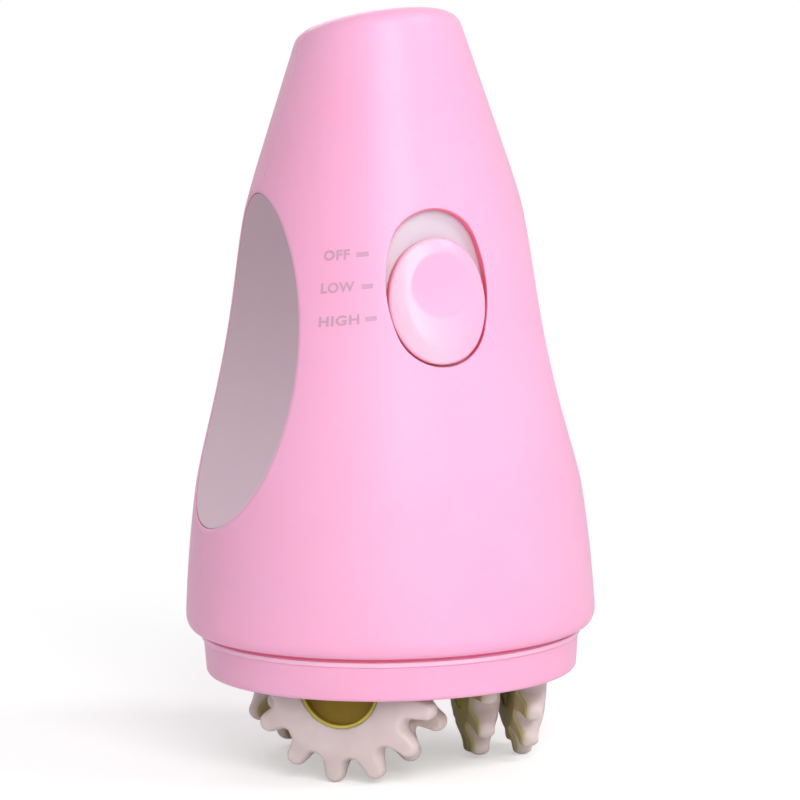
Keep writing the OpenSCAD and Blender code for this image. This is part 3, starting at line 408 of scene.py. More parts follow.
def footRows(side):
    high, wide = housing["roundHeight"], housing["roundIn"]
    steps = []
    for t in np.radians(np.linspace(0, 90, shells["footRows"])):
        steps.append((wideR - wide * (1 - sin(t)), wideZ - high * cos(t), atan2(-wide * cos(t), high * sin(t))))
    for z in np.linspace(wideZ + 1.5, shells["blockLow"], shells["footRows"]):
        steps.append((float(flankRadius(z)), z, float(flankSlope(z))))
    rows = []
    for rho, z, a in steps:
        innerRho = housing["mouthRadius"] if z < housing["mouthHigh"] else rho - wall
        rows.append([(d * rho + [0, 0, z], d * cos(a) + [0, 0, sin(a)], d * innerRho + [0, 0, z])
                     for d in (outwards(column, rho, side) for column in allColumns)])
    return seamed(rows, side)


def rimCentre(turn, side):
    # in the upright half plane at this turn: a circle that touches the cone and the slanted top
    m = -side * sin(turn) * tan(slant)
    n1, n2 = np.array([cos(coneA), sin(coneA)]), np.array([-m, 1]) / sqrt(1 + m * m)
    r = housing["rimRound"]
    centre = np.linalg.solve(np.array([n1, n2]), [n1 @ [coneR, coneZ] - r, n2 @ [0, topZ] - r])
    return centre, atan2(n2[1], n2[0])


def crownRows(side):
    # up the cone, round the rim, then over the slanted top towards the seam
    count, r = shells["crownRows"], housing["rimRound"]
    topNormal = np.array([0, sin(slant), cos(slant)])
    grid = []
    for column in allColumns:
        centre, last = rimCentre(columnTurn(column, float(flankRadius(shells["blockHigh"]))), side)
        path = [(float(flankRadius(z)), z, coneA)
                for z in np.linspace(shells["blockHigh"], centre[1] + r * sin(coneA), count)]
        path += [(centre[0] + r * cos(a), centre[1] + r * sin(a), a) for a in np.linspace(coneA, last, count)[1:]]
        line = []
        for rho, z, a in path:
            d = outwards(column, rho, side)
            p, n = d * rho + [0, 0, z], d * cos(a) + [0, 0, sin(a)]
            line.append((p, n, p - n * wall))
        x, far = p[0], abs(p[1]) - seam
        for reach in [*np.linspace(far, shells["seamSteps"][-1], shells["topRows"])[1:], *shells["seamSteps"][-2::-1]]:
            y = side * (seam + min(max(reach, 0), far))
            p = np.array([x, y, topZ - y * tan(slant)])
            line.append((p, topNormal, (p - topNormal * wall) * [1 - wall / 40, 1, 1]))
        grid.append(line)
    return seamed(grid, side)


def scoopX(z):
    return shells["scoopX"] - np.sqrt(shells["scoopRadius"] ** 2 - (z - shells["scoopAxisZ"]) ** 2)


def scoopSurface(y, z):
    points = xyz(-scoopX(z), y, z)
    return points, (points - xyz(-shells["scoopX"], y, shells["scoopAxisZ"])) / shells["scoopRadius"]


def scoopEdge():
    # polar radius of the hollow's outline about its middle, by angle from straight up
    z = np.linspace(58, 152, 4000)
    inside = flankRadius(z) ** 2 - scoopX(z) ** 2
    up, y = z[inside > 0] - shells["scoopMiddleZ"], np.sqrt(inside[inside > 0])
    turn = np.arctan2(y, up)
    order = np.argsort(turn)
    return turn[order], np.hypot(y, up)[order]


def outlineAt(turn, outline, grow, step=0.02):
    # point of a closed outline in a direction, moved outwards by grow
    r = np.interp(turn, *outline)
    slope = (np.interp(turn + step, *outline) - np.interp(turn - step, *outline)) / (2 * step)
    r = r + grow * np.sqrt(1 + (slope / r) ** 2)
    return r * np.cos(turn), r * np.sin(turn)


scoopOutline = scoopEdge()


def scoopAt(turn, offset):
    up, y = outlineAt(turn, scoopOutline, offset, 0.01)
    return y, shells["scoopMiddleZ"] + up


def flankAt(y, z):
    points = xyz(-np.sqrt(np.maximum(flankRadius(z) ** 2 - y * y, 1e-9)), y, z)
    return points, flankNormal(points)


def scoopBlock():
    # built on the left, in front of the seam; the other three are its mirror images
    def corner(column, z):
        rho = float(flankRadius(z))
        return rho * sin(columnTurn(column, rho)), z

    edge = [corner(column, blockRows[0]) for column in leftColumns]
    edge += [corner(leftColumns[-1], z) for z in blockRows[1:]]
    edge += [corner(column, blockRows[-1]) for column in reversed(leftColumns[:-1])]
    edge = np.array(edge)
    turn = np.arctan2(edge[:, 0] - seam, edge[:, 1] - shells["scoopMiddleZ"])
    turn[0], turn[-1] = 0.0, pi

    def at(offset):
        y, z = scoopAt(turn, offset)
        return y + seam, z

    first, second = shells["scoopRings"]
    places = between(at(first), edge.T, np.linspace(1, 0, 8))
    rows = []
    for y, z in places + [at(second), at(shells["scoopRound"])]:
        points, n = flankAt(y, z)
        rows.append((seamDrop(points, n), points - n * wall))
    a, b = points, flankAt(*at(0.0))[0]
    c, into = scoopSurface(*at(-shells["scoopRound"] * 0.8))
    low = rows[-1][1]
    floorY, floorZ = at(-shells["lip"])
    lip, lipInto = scoopSurface(floorY, floorZ)
    deep = lip + lipInto * shells["pocketWall"]
    for k in range(1, 7):
        normal = lerp(n, -into, k / 6)
        normal = normal / np.linalg.norm(normal, axis=-1, keepdims=True)
        rows.append((seamDrop(bezier(a, b, c, k / 6), normal), lerp(low, deep, k / 10)))
    rows.append((seamDrop(lip, -lipInto), lerp(low, deep, 0.7)))
    rows += [(lip + lipInto * depth, lerp(low, deep, share))
             for depth, share in ((0.25, 0.8), (1.2, 0.9), (shells["pocket"], 1.0))]
    for s in np.linspace(1, 0, 10)[1:]:
        points, into = scoopSurface(seam + (floorY - seam) * s, floorZ)
        rows.append((points + into * shells["pocket"], points + into * shells["pocketWall"]))
    rows = np.array(rows)
    rows[:, 1, :, 1] = np.maximum(rows[:, 1, :, 1], seam)
    return rows * [1, -1, 1]


def ovalPoints(width, height, end):
    a, b = width / 2, height / 2
    s = (a * a + (b - end) ** 2 - end * end) / (2 * (a - end))
    turn = atan2(b - end, s - a)
    arcs = ((a - s, 0, s), (0, b - end, end), (s - a, 0, s), (0, end - b, end))
    stops = [-turn, turn, pi - turn, pi + turn, 2 * pi - turn]
    return np.array([(x + r * cos(t), y + r * sin(t)) for k, (x, y, r) in enumerate(arcs)
                     for t in np.linspace(stops[k], stops[k + 1], 200)])


def polarOf(points):
    turn = np.arctan2(points[:, 1], points[:, 0])
    order = np.argsort(turn)
    turn, rho = turn[order], np.hypot(points[:, 0], points[:, 1])[order]
    return np.concatenate([turn - 2 * pi, turn, turn + 2 * pi]), np.tile(rho, 3)


windowOutline = polarOf(ovalPoints(
    shells["windowWidth"], shells["windowHeight"], shells["windowWidth"] * shells["windowEnd"]))


def fromWindow(x, y, z):
    return windowOrigin + xyz(x, y, z) @ windowAxes


def onWindowFlank(x, y):
    # point of the flank straight above (x, y) of the window's own frame
    w = np.zeros_like(x)
    for _ in range(12):
        z = shells["windowZ"] + y * cos(windowSlope) + w * sin(windowSlope)
        front = -np.sqrt(np.maximum(flankRadius(z) ** 2 - x * x, 1e-9))
        w = (front + windowR - y * sin(windowSlope)) / -cos(windowSlope)
    points = fromWindow(x, y, w)
    return points, flankNormal(points)


def middleFrame(side):
    # the block's outer boundary, once round, starting at the upper left
    def corner(column, z):
        rho = float(flankRadius(z))
        return outwards(column, rho, side) * rho + [0, 0, z]

    left, right = leftColumns[-1], rightColumns[0]
    span = [left] + middleColumns + [right]
    loop = [corner(column, blockRows[0]) for column in span]
    loop += [corner(right, z) for z in blockRows[1:]]
    loop += [corner(column, blockRows[-1]) for column in reversed(span[:-1])]
    loop += [corner(left, z) for z in reversed(blockRows[1:-1])]
    return np.array(loop)


def windowBlock():
    loop = middleFrame(-1)
    local = (loop - windowOrigin) @ windowAxes.T
    turn = np.arctan2(local[:, 1], local[:, 0])
    rows = [(loop, loop - flankNormal(loop) * wall)]

    def at(grow):
        return outlineAt(turn, windowOutline, grow)

    first, second, *nearer = shells["windowRings"]
    steps = np.linspace(1, 0, 18)[1:] ** shells["windowCrowd"]
    rows += walled(onWindowFlank, between(at(first), local.T[:2], steps) + [at(second)])
    hold = rows[-1][1]
    rows += [(onWindowFlank(*at(grow))[0], hold) for grow in (*nearer, shells["windowRound"])]
    down = -windowAxes[2]
    b = onWindowFlank(*at(0.0))[0]
    edge = curve(rows[-1][0], b, b + down * shells["windowRound"], 6)
    rows += [(points, hold + down * 0.1 * (k + 1)) for k, points in enumerate(edge)]
    rows += [(b + down * depth, hold + down * low)
             for depth, low in ((1.2, 0.65), (2.2, 0.7), (shells["plateDepth"], 0.75))]
    return rows


def roundedRect(width, low, high, cornerHigh, cornerLow, centreZ):
    pts = []
    for t0, sx, sz, r in ((0, 1, 1, cornerHigh), (90, -1, 1, cornerHigh),
                          (180, -1, -1, cornerLow), (270, 1, -1, cornerLow)):
        x, z = sx * (width / 2 - r), (high if sz > 0 else low) - sz * r
        pts += [(x + r * deg(cos, t), z + r * deg(sin, t)) for t in np.linspace(t0, t0 + 90, 60)]
    pts = np.array(pts + pts[:1])
    dense = []
    for p, q in zip(pts[:-1], pts[1:]):
        count = max(1, int(np.linalg.norm(q - p) / 0.1))
        dense += [lerp(p, q, k / count) for k in range(count)]
    return np.array(dense) - [0, centreZ]


doorLow, doorHigh = shells["doorLow"], shells["doorLow"] + shells["doorHeight"]
doorMiddle = (doorLow + doorHigh) / 2
doorOutline = polarOf(roundedRect(
    shells["doorWidth"], doorLow, doorHigh, shells["doorCorner"], shells["doorFoot"], doorMiddle))
openingOutline = polarOf(roundedRect(
    shells["doorWidth"] + 2 * shells["doorGap"], doorLow - shells["doorGap"], doorHigh + shells["doorTopGap"],
    shells["doorCorner"] + shells["doorGap"], shells["doorFoot"] + 0.3, doorMiddle))


def onRearFlank(x, z):
    points = xyz(x, np.sqrt(np.maximum(flankRadius(z) ** 2 - x * x, 1e-9)), z)
    return points, flankNormal(points)


def doorBlock():
    loop = middleFrame(1)
    turn = np.arctan2(loop[:, 2] - doorMiddle, loop[:, 0])
    rows = [(loop, loop - flankNormal(loop) * wall)]

    def at(grow):
        x, z = outlineAt(turn, openingOutline, grow)
        return onRearFlank(x, z + doorMiddle)

    a, na = at(shells["doorRound"])
    rows += walled(onRearFlank, between(a.T[::2], loop.T[::2], np.linspace(1, 0, 14)[1:]))
    b, nb = at(0.0)
    rows += [(points, a - na * wall) for points in curve(a, b, b - nb * shells["doorRound"], 4)]
    ledgeTop = wall + 0.05
    rows += [(b - nb * 1.4, a - na * (wall + 0.3)), (b - nb * ledgeTop, a - na * (wall + 0.8))]
    (x, z), (x2, z2) = (outlineAt(turn, openingOutline, grow) for grow in (0.0, -1.0))
    reach = np.where(b[:, 2] < doorLow + 2.5, shells["hookOpen"], shells["ledge"])
    p, n = onRearFlank(x + (x2 - x) * reach, z + (z2 - z) * reach + doorMiddle)
    ledgeLow = wall + shells["ledgeDepth"]
    return rows + [(p - n * ledgeTop, a - na * (wall + 1.0)), (p - n * ledgeLow, b - nb * ledgeLow)]


def buildShell(name, side):
    scoop = scoopBlock()
    grids = [(footRows(side), False), (crownRows(side), False)]
    grids += [(scoop * [sx, -side, 1], False) for sx in (1, -1)]
    grids.append((windowBlock() if side < 0 else doorBlock(), True))
    return thickSheet(name, grids)


def markWindowWall(piece):
    # the wall of the window, below its rounded edge, is marked for painted shade: a hot pink that stands in for the
    # reddish shade in the gap round the button
    points = spots(piece)
    x, y, z = ((points - windowOrigin) @ windowAxes.T).T
    reach = np.hypot(x, y) / np.interp(np.arctan2(y, x), *windowOutline)
    depth = -windowR + np.sqrt(np.maximum(windowR ** 2 - x ** 2, 0)) - z
    onWall = (np.abs(reach - 1) < shells["deepShare"]) & (depth > shells["deepFrom"])
    mark(piece, "deep", onWall & (points[:, 1] < 0))


wells = {
    "places": [(-30, 82.7323), (30, 82.7323), (0, 160.7323)],
    "radius": 2.8,
    "tubeRadius": 3.8,
    "bore": 1.45,
    "nearY": 0.1,
    "floorY": 9.0,  # seat of the screw heads
    "sunk": 1.5,  # the tube ends this far under the outside of the wall
    "segments": 48,
    "cutterY": 35,
    "cutterLength": 46,
}


def wellTube(x0, z0):
    turn = np.linspace(0, 2 * pi, wells["segments"], endpoint=False)

    def ring(radius, y=None):
        x, z = x0 + radius * np.cos(turn), z0 + radius * np.sin(turn)
        return xyz(x, np.sqrt(flankRadius(z) ** 2 - x * x) - wells["sunk"] if y is None else y, z)

    bore, inside, outside = wells["bore"], wells["radius"] - 0.03, wells["tubeRadius"]
    rows = [ring(bore, wells["nearY"]), ring(outside, wells["nearY"]), ring(outside), ring(inside),
            ring(inside, wells["floorY"]), ring(bore, wells["floorY"]), ring(bore, wells["nearY"])]
    return gridObject("wellTube", rows, closed=True)


def withWells(shell):
    # opens a round hole through the wall for each screw and hangs its tube inside
    work = bmesh.new()
    radius = wells["radius"] * mm
    for x, z in wells["places"]:
        place = Matrix.Translation((x * mm, wells["cutterY"] * mm, z * mm)) @ Matrix.Rotation(pi / 2, 4, "X")
        bmesh.ops.create_cone(work, cap_ends=True, segments=wells["segments"], radius1=radius, radius2=radius,
                              depth=wells["cutterLength"] * mm, matrix=place)
    cutter = placed("cutter", bpy.data.meshes.new("cutter"))
    work.to_mesh(cutter.data)
    work.free()
    cut = shell.modifiers.new("wells", "BOOLEAN")
    cut.operation, cut.solver, cut.object = "DIFFERENCE", "EXACT", cutter
    settled(shell)
    bpy.data.meshes.remove(cutter.data)
    return joined("rearShell", [shell] + [wellTube(x, z) for x, z in wells["places"]])


pieces = []  # every piece with its finish


def fit(piece, body, node, slot, look=None):
    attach(piece, body)
    if node:
        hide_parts(node)
    pieces.append((piece, look or slot))


frontShell = buildShell("frontShell", -1)
rearShell = withWells(buildShell("rearShell", 1))
markWindowWall(frontShell)
fit(frontShell, "housing", "front_shell", "pink_gloss")
fit(rearShell, "housing", "rear_shell", "pink_gloss")
print("shells", len(frontShell.data.polygons), len(rearShell.data.polygons))


# grip pads

grips = {
    "gap": 0.12,  # between the pad and the lip of the shells
    "edge": 0.4,
    "thickness": 1.95,
    "columns": 240,
}


def gripPad(name, side):
    turn = np.linspace(0, 2 * pi, grips["columns"], endpoint=False)
    half = np.where(turn <= pi, turn, 2 * pi - turn)
    sign = np.where(turn <= pi, 1, -1)
    rim = -shells["lip"] - grips["gap"]

    def at(offset, scale=1.0):
        y, z = scoopAt(half, offset)
        return scoopSurface(y * sign * scale, shells["scoopMiddleZ"] + (z - shells["scoopMiddleZ"]) * scale)

    b, into = at(rim)[0], at(rim - grips["edge"])[1]
    rows = [at(rim - grips["edge"], t)[0] for t in np.linspace(0, 1, 26)]
    rows += curve(rows[-1], b, b + into * grips["edge"], 5)
    rows.append(b + into * grips["thickness"])
    for t in np.linspace(1, 0, 10):
        points, n = at(rim - grips["edge"], t)
        rows.append(points + n * grips["thickness"])
    return gridObject(name, np.array(rows) * [side, 1, 1], closed=True)


# base ring

baseRing = {
    "lowZ": 23.3323,
    "height": 10.2,
    "radius": 48.0,
    "lipHeight": 1.2,
    "taper": 1.2,
    "edge": 1.3,
    "bore": 44.7,
    "spigot": 47.1,
    "flangeBore": 38.5,
    "flangeZ": 55.6323,
    "flangeThickness": 2.4,
    "segments": 256,
}


def roundedProfile(corners):
    # corners: (radius, height, rounding); a rounded corner becomes an arc that touches both of its sides
    out = []
    for k, (x, z, reach) in enumerate(corners):
        p, a, b = (np.array(corners[i % len(corners)][:2], float) for i in (k, k - 1, k + 1))
        u, v = ((q - p) / np.linalg.norm(q - p) * reach for q in (a, b))
        out += [(x, z)] if not reach else [tuple(bezier(p + u, p, p + v, t)) for t in np.linspace(0, 1, 6)]
    return out


def makeBaseRing():
    r, z0, spigot, bore = (baseRing[name] for name in ("radius", "lowZ", "spigot", "bore"))
    z1, z2, flange = z0 + baseRing["height"], baseRing["flangeZ"], baseRing["flangeBore"]
    lipZ, z3 = z1 - baseRing["lipHeight"], z2 + baseRing["flangeThickness"]
    profile = roundedProfile([
        (bore, z0, 0.4), (r - baseRing["taper"], z0, baseRing["edge"]), (r - 0.55, lipZ - 0.25, 0.15),
        (r, lipZ + 0.05, 0.25), (r, z1, 0.3), (spigot, z1, 0), (spigot, z3, 0.3),
        (flange, z3, 0.2), (flange, z2, 0.2), (bore, z2, 0.3)])
    turn = np.linspace(0, 2 * pi, baseRing["segments"], endpoint=False)
    rows = [xyz(r * np.cos(turn), r * np.sin(turn), z) for r, z in profile + profile[:1]]
    return gridObject("baseRing", rows, closed=True)


# switch: plate and thumb button

switch = {
    "plateEdge": 2.2,
    "plateThickness": 1.4,
    "plateGap": 0.05,
    "slotWidth": 4.4,
    "slotHeight": 10.9,
    "slotRound": 0.6,
    "buttonWidth": 25.6,
    "buttonHeight": 31.8,
    "buttonEnd": 0.451,  # radius of the button's ends, as a share of its width
    "buttonY": -3.25,
    "buttonProud": 0.5,
    "buttonUnder": 3.05,
    "slope": 4.4,  # width of the sloping rim
    "slopeDrop": 0.95,
    "edge": 0.7,
    "dishX": 0.7,
    "dishY": 3.9,  # above the middle of the button
    "dishRadius": 8.3,
    "dishDepth": 1.15,
    "dishBlend": 0.006,  # how softly the hollow runs out into the face
    "swell": 0.2,
    "swellY": -10.0,
    "swellWidth": 9.0,
    "swellHeight": 5.0,
    "polishHighlightFrom": 0.9,  # the polishing and the painted highlight begin at this share of the hollow's radius
    "polishHighlightOver": 0.2,
    "polishHighlightLeast": 0.25,  # polishing and painted highlight on the right, against 1 on the left
    "polishHighlightX": 7.0,
    "polishHighlightWidth": 10.0,
    "skirt": (1.4, 0.3),  # points of the side, above the underside
    "underShare": 0.99,  # width of the underside, as a share of the button's
    "topNear": 0.4,  # points this near to the upper face belong to it
}
slideR = windowR / cos(windowSlope)


def slideHeight(x, depth):
    return -slideR + np.sqrt((slideR - depth) ** 2 - x * x)


def makePlate():
    turn = np.linspace(-pi, pi, 160, endpoint=False)
    high, r = switch["slotHeight"] / 2, switch["slotRound"]
    x1, y1 = outlineAt(turn, windowOutline, switch["plateEdge"])
    x0, y0 = outlineAt(turn, polarOf(roundedRect(switch["slotWidth"], -high, high, r, r, 0)), 0)
    top = shells["plateDepth"] + switch["plateGap"]
    rows = []
    for t in np.linspace(1, 0, 24):
        x, y = lerp(x0, x1, t), lerp(y0, y1, t)
        rows.append([fromWindow(x, y, slideHeight(x, depth)) for depth in (top, top + switch["plateThickness"])])
    return thickSheet("switchPlate", [(rows, True)])


def dishReach(x, y):
    return np.hypot(x - switch["dishX"], y - switch["dishY"]) / switch["dishRadius"]


def buttonFace(x, y):
    # face of the button inside its sloping rim: a round hollow and a low swell under it
    depth = 1 - dishReach(x, y) ** 2
    dish = switch["dishDepth"] * 0.5 * (depth + np.sqrt(depth ** 2 + switch["dishBlend"]))
    u, v = x / switch["swellWidth"], (y - switch["swellY"]) / switch["swellHeight"]
    swell = switch["swell"] * np.exp(-(u ** 2 + v ** 2))
    return slideHeight(x, -switch["buttonProud"]) - dish + swell


def makeButton():
    turn = np.linspace(-pi, pi, 240, endpoint=False)
    outline = polarOf(ovalPoints(
        switch["buttonWidth"], switch["buttonHeight"], switch["buttonWidth"] * switch["buttonEnd"]))
    slope, edge, under, shift = (switch[name] for name in ("slope", "edge", "buttonUnder", "buttonY"))
    rows, rub = [], []

    def top(x, y, drop):
        rows.append(fromWindow(x, y + shift, buttonFace(x, y) - drop))
        # the thumb polishes the rim and the swell, and leaves the hollow alone; the same mask paints a paler highlight
        # there, strongest on the left
        rimPolishAndHighlight = smoothStep((dishReach(x, y) - switch["polishHighlightFrom"]) / switch["polishHighlightOver"])
        rub.append(rimPolishAndHighlight * lerp(switch["polishHighlightLeast"], 1, smoothStep((switch["polishHighlightX"] - x) / switch["polishHighlightWidth"])))

    xs, ys = outlineAt(turn, outline, -slope)
    for t in np.linspace(0, 1, 44)[:-1]:
        top(lerp(switch["dishX"], xs, t), lerp(switch["dishY"], ys, t), 0)
    for d in np.linspace(slope, edge, 20):
        t = (slope - d) / slope
        drop = switch["slopeDrop"] * (t * t + t) / 2
        if d > edge:
            top(*outlineAt(turn, outline, -d), drop)
    for a in np.linspace(0, 90, 9):
        top(*outlineAt(turn, outline, -edge * (1 - deg(sin, a))),
            drop + 0.2 * t * deg(sin, a) + edge * (1 - deg(cos, a)))
    x, y = outlineAt(turn, outline, 0)
    rows += [fromWindow(x, y + shift, slideHeight(x, under) + rise) for rise in switch["skirt"]]
    share = switch["underShare"]
    rows += [fromWindow(x * t * share, y * t * share + shift, slideHeight(x * t, under))
             for t in np.linspace(1, 0, 14)]
    made = gridObject("switchButton", rows, closed=True)
    tree = treeOf(np.array(rows[:len(rub)]).reshape(-1, 3))
    rub = np.array(rub).reshape(-1)
    near = [tree.find(point)[1:] for point in spots(made)]
    onTop = np.array([far < switch["topNear"] for _, far in near])
    mark(made, "rub", rub[[k for k, _ in near]] * onTop)
    # the sides and the underside are marked for the same painted shade as the window wall, a hot pink in the gap
    mark(made, "deep", ~onTop)
    return made


# battery door

door = {
    "thickness": 2.4,
    "round": 0.4,
    "recessZ": 126.5,
    "recessWidth": 17.0,
    "recessHeight": 9.0,
    "recessDepth": 1.5,
    "recessPower": 2.4,
    "recessSteep": 1.6,
    "recessTilt": 0.35,  # how much deeper the hollow is below its middle than at it
    "hookX": 13.0,
    "hookWidth": 7.0,
    "hookParts": [("hook", -3, 5, 2.9, 4.3), ("hookRoot", 1, 4, 2.3, 3.1)],  # heights and depths
}


def curvedPlate(name, x0, z0, z1, near, far):
    # a plate that follows the rear flank between two depths
    x = np.linspace(x0 - door["hookWidth"] / 2, x0 + door["hookWidth"] / 2, 9)
    rows = []
    for z in np.linspace(z0, z1, 6):
        points, n = onRearFlank(x, 0 * x + z)
        rows.append((points - n * near, points - n * far))
    return thickSheet(name, [(rows, False)])


def doorRecess(x, z):
    # a half-moon hollow for the thumb, steep at its lower edge and shallow at the top
    u = np.abs(x) / (door["recessWidth"] / 2)
    v = (z - door["recessZ"]) / (door["recessHeight"] / 2)
    inside = np.clip(1 - (u ** door["recessPower"] + np.abs(v) ** door["recessPower"]), 0, 1)
    tilt = 1 - door["recessTilt"] - door["recessTilt"] * np.clip(v, -1, 1)
    return door["recessDepth"] * smoothStep(inside * door["recessSteep"]) * tilt


def makeDoor():
    turn = np.linspace(-pi, pi, 300, endpoint=False)

    def at(grow, scale=1.0):
        x, z = outlineAt(turn, doorOutline, grow)
        return onRearFlank(x * scale, z * scale + doorMiddle)

    rows = []
    for t in np.linspace(0, 1, 46):
        points, n = at(-door["round"], t)
        rows.append(points - n * doorRecess(points[:, 0], points[:, 2])[:, None])
    b, nb = at(0)
    rows += curve(at(-door["round"])[0], b, b - nb * door["round"], 5)
    rows.append(b - nb * door["thickness"])
    for t in np.linspace(1, 0, 12):
        points, n = at(-0.2, t)
        rows.append(points - n * door["thickness"])
    return gridObject("batteryDoor", rows, closed=True)


fit(gripPad("leftGrip", 1), "housing", "left_grip", "grip_rubber")
fit(gripPad("rightGrip", -1), "housing", "right_grip", "grip_rubber")
fit(makeBaseRing(), "housing", "base_ring", "ring_pink")
fit(makePlate(), "housing", "switch_plate", "plate_grey")
fit(makeButton(), "slider", "switch_button", "pink_gloss", "button_gloss")
doorParts = [makeDoor()]
for k, x in enumerate((-door["hookX"], door["hookX"])):
    doorParts += [curvedPlate(f"{name}{k}", x, doorLow + z0, doorLow + z1, near, far)
                  for name, z0, z1, near, far in door["hookParts"]]
fit(joined("batteryDoor", doorParts), "door", "battery_door", "pink_gloss")
print("grips, ring, switch and door")


# node trees, for materials and for geometry

class Wire:
    # a node's output that can stand in a Python expression
    def __init__(self, graph, socket):
        self.graph, self.socket = graph, socket

    def pick(self, name):
        return Wire(self.graph, self.socket.node.outputs[name])


def overload(name, operation):
    setattr(Wire, f"__{name}__", lambda self, other: self.graph.maths(operation, self, other))
    setattr(Wire, f"__r{name}__", lambda self, other: self.graph.maths(operation, other, self))


for name, operation in (("add", "ADD"), ("sub", "SUBTRACT"), ("mul", "MULTIPLY"), ("truediv", "DIVIDE")):
    overload(name, operation)


class Graph:
    def __init__(self, tree):
        self.tree = tree
        tree.nodes.clear()

    def node(self, kind, inputs=(), **settings):
        made = self.tree.nodes.new(kind)
        for name, value in settings.items():
            setattr(made, name, value)
        for name, value in dict(inputs).items():
            if isinstance(value, Wire):
                self.tree.links.new(value.socket, made.inputs[name])
            else:
                made.inputs[name].default_value = value
        return Wire(self, made.outputs[0]) if made.outputs else made

    def maths(self, operation, first, second):
        return self.node("ShaderNodeMath", {0: first, 1: second}, operation=operation)

    def blend(self, factor, first, second):
        mixed = self.node("ShaderNodeMix", {0: factor, 6: first, 7: second}, data_type="RGBA")
        return Wire(self, mixed.socket.node.outputs[2])

    def place(self):
        return self.node("ShaderNodeTexCoord").pick("Object")

    def noise(self, scale, detail=2.0, stretch=None):
        place = self.place()
        if stretch:
            place = self.node("ShaderNodeMapping", {"Vector": place, "Scale": stretch})
        return self.node("ShaderNodeTexNoise", {"Vector": place, "Scale": scale, "Detail": detail})

    def ramp(self, value, low, high):
        stops = {"Value": value, "From Min": low, "From Max": high}
        return self.node("ShaderNodeMapRange", stops, interpolation_type="SMOOTHSTEP")

    def height(self):
        return self.node("ShaderNodeSeparateXYZ", {0: self.place()}).pick("Z")

    def field(self, name):
        return self.node("ShaderNodeAttribute", attribute_name=name).pick("Fac")

    def bump(self, height, depth, strength=1.0):
        return self.node("ShaderNodeBump", {"Height": height, "Distance": depth, "Strength": strength})

    def upright(self, height):
        return self.node("ShaderNodeCombineXYZ", {"Z": height})


def tint(r, g, b):
    # a colour as a screen shows it, turned to what the shader needs
    return tuple(((c / 255 + 0.055) / 1.055) ** 2.4 if c > 10 else c / 255 / 12.92 for c in (r, g, b)) + (1,)


def geometryTree(name, sockets):
    tree = bpy.data.node_groups.new(name, "GeometryNodeTree")
    tree.interface.new_socket("Geometry", in_out="INPUT", socket_type="NodeSocketGeometry")
    for label, kind in sockets:
        tree.interface.new_socket(label, in_out="INPUT", socket_type=f"NodeSocket{kind}")
    tree.interface.new_socket("Geometry", in_out="OUTPUT", socket_type="NodeSocketGeometry")
    g = Graph(tree)
    return g, g.node("NodeGroupInput")


def closeTree(g, entry, copies, weld=0):
    # real copies with their material
    shape = g.node("GeometryNodeRealizeInstances", {"Geometry": copies})
    if weld:
        shape = g.node("GeometryNodeMergeByDistance", {"Geometry": shape, "Distance": weld})
    painted = g.node("GeometryNodeSetMaterial", {"Geometry": shape, "Material": entry.pick("Material")})
    g.node("NodeGroupOutput", {"Geometry": painted})
    return g.tree


def repeatRound():
    # copies of one shape round the z axis, welded where they meet
    g, entry = geometryTree("repeatRound", [("Count", "Int"), ("Material", "Material")])
    step = 2 * pi / entry.pick("Count")
    turn = g.upright(g.node("GeometryNodeInputIndex") * step)
    points = g.node("GeometryNodeMeshLine", {"Count": entry.pick("Count"), "Offset": (0, 0, 0)})
    copies = g.node("GeometryNodeInstanceOnPoints", {
        "Points": points, "Instance": entry.pick("Geometry"), "Rotation": turn})
    return closeTree(g, entry, copies, 2e-6)


def grown(piece, tree, inputs, smooth=40):
    # runs a geometry tree on a piece and keeps the result as its plain mesh
    modifier = piece.modifiers.new(tree.name, "NODES")
    modifier.node_group = tree
    names = {item.name: item.identifier for item in tree.interface.items_tree if item.in_out == "INPUT"}
    for label, value in inputs.items():
        modifier[names[label]] = value
    settled(piece).data.shade_smooth()
    piece.data.set_sharp_from_angle(angle=radians(smooth))
    return piece


# rollers: a soft tread moulded round a rigid core

rollers = {
    "fingers": 13,
    "tip": 25.3,
    "root": 19.1,
    "fingerRadius": 2.62,
    "valleyRadius": 1.95,
    "half": 4.3,  # half thickness at the root
    "fingerHalf": 2.35,
    "thinFrom": 16.9,
    "thinOver": 6.4,
    "round": 1.25,
    "coreRadius": 16.05,
    "faceRadius": 10.75,
    "step": 2.05,
    "seamGap": 0.12,
    "backing": 0.6,  # thickness of the core's fingers, behind those of the tread
    "glow": 1.4,  # how far the lime shows through the tread
    "axleZ": 25.1323,
    "turns": [227.8, 347.8, 107.8],
    "rows": [("outer", 32.8, -0.25), ("inner", 21.0, 0.25)],  # distance from the axis, turn in fingers
}
cores = {
    "half": 4.0,
    "coreRadius": 16.0,
    "faceRadius": 10.7,
    "step": 2.0,
    "recessRadius": 9.85,
    "recess": 2.4,
    "boss": 3.1,
    "bore": 1.31,
    "backRadius": 13.0,
    "backRecess": 0.45,
    "backBoss": 4.1,
    "ribs": 6,
    "ribHalf": 0.8,
    "ribRound": 0.25,
    "seamGap": 0.02,
    "paleFrom": 12,
    "paleOver": 6,
}
spin = 360 / rollers["fingers"]
roundTree = repeatRound()


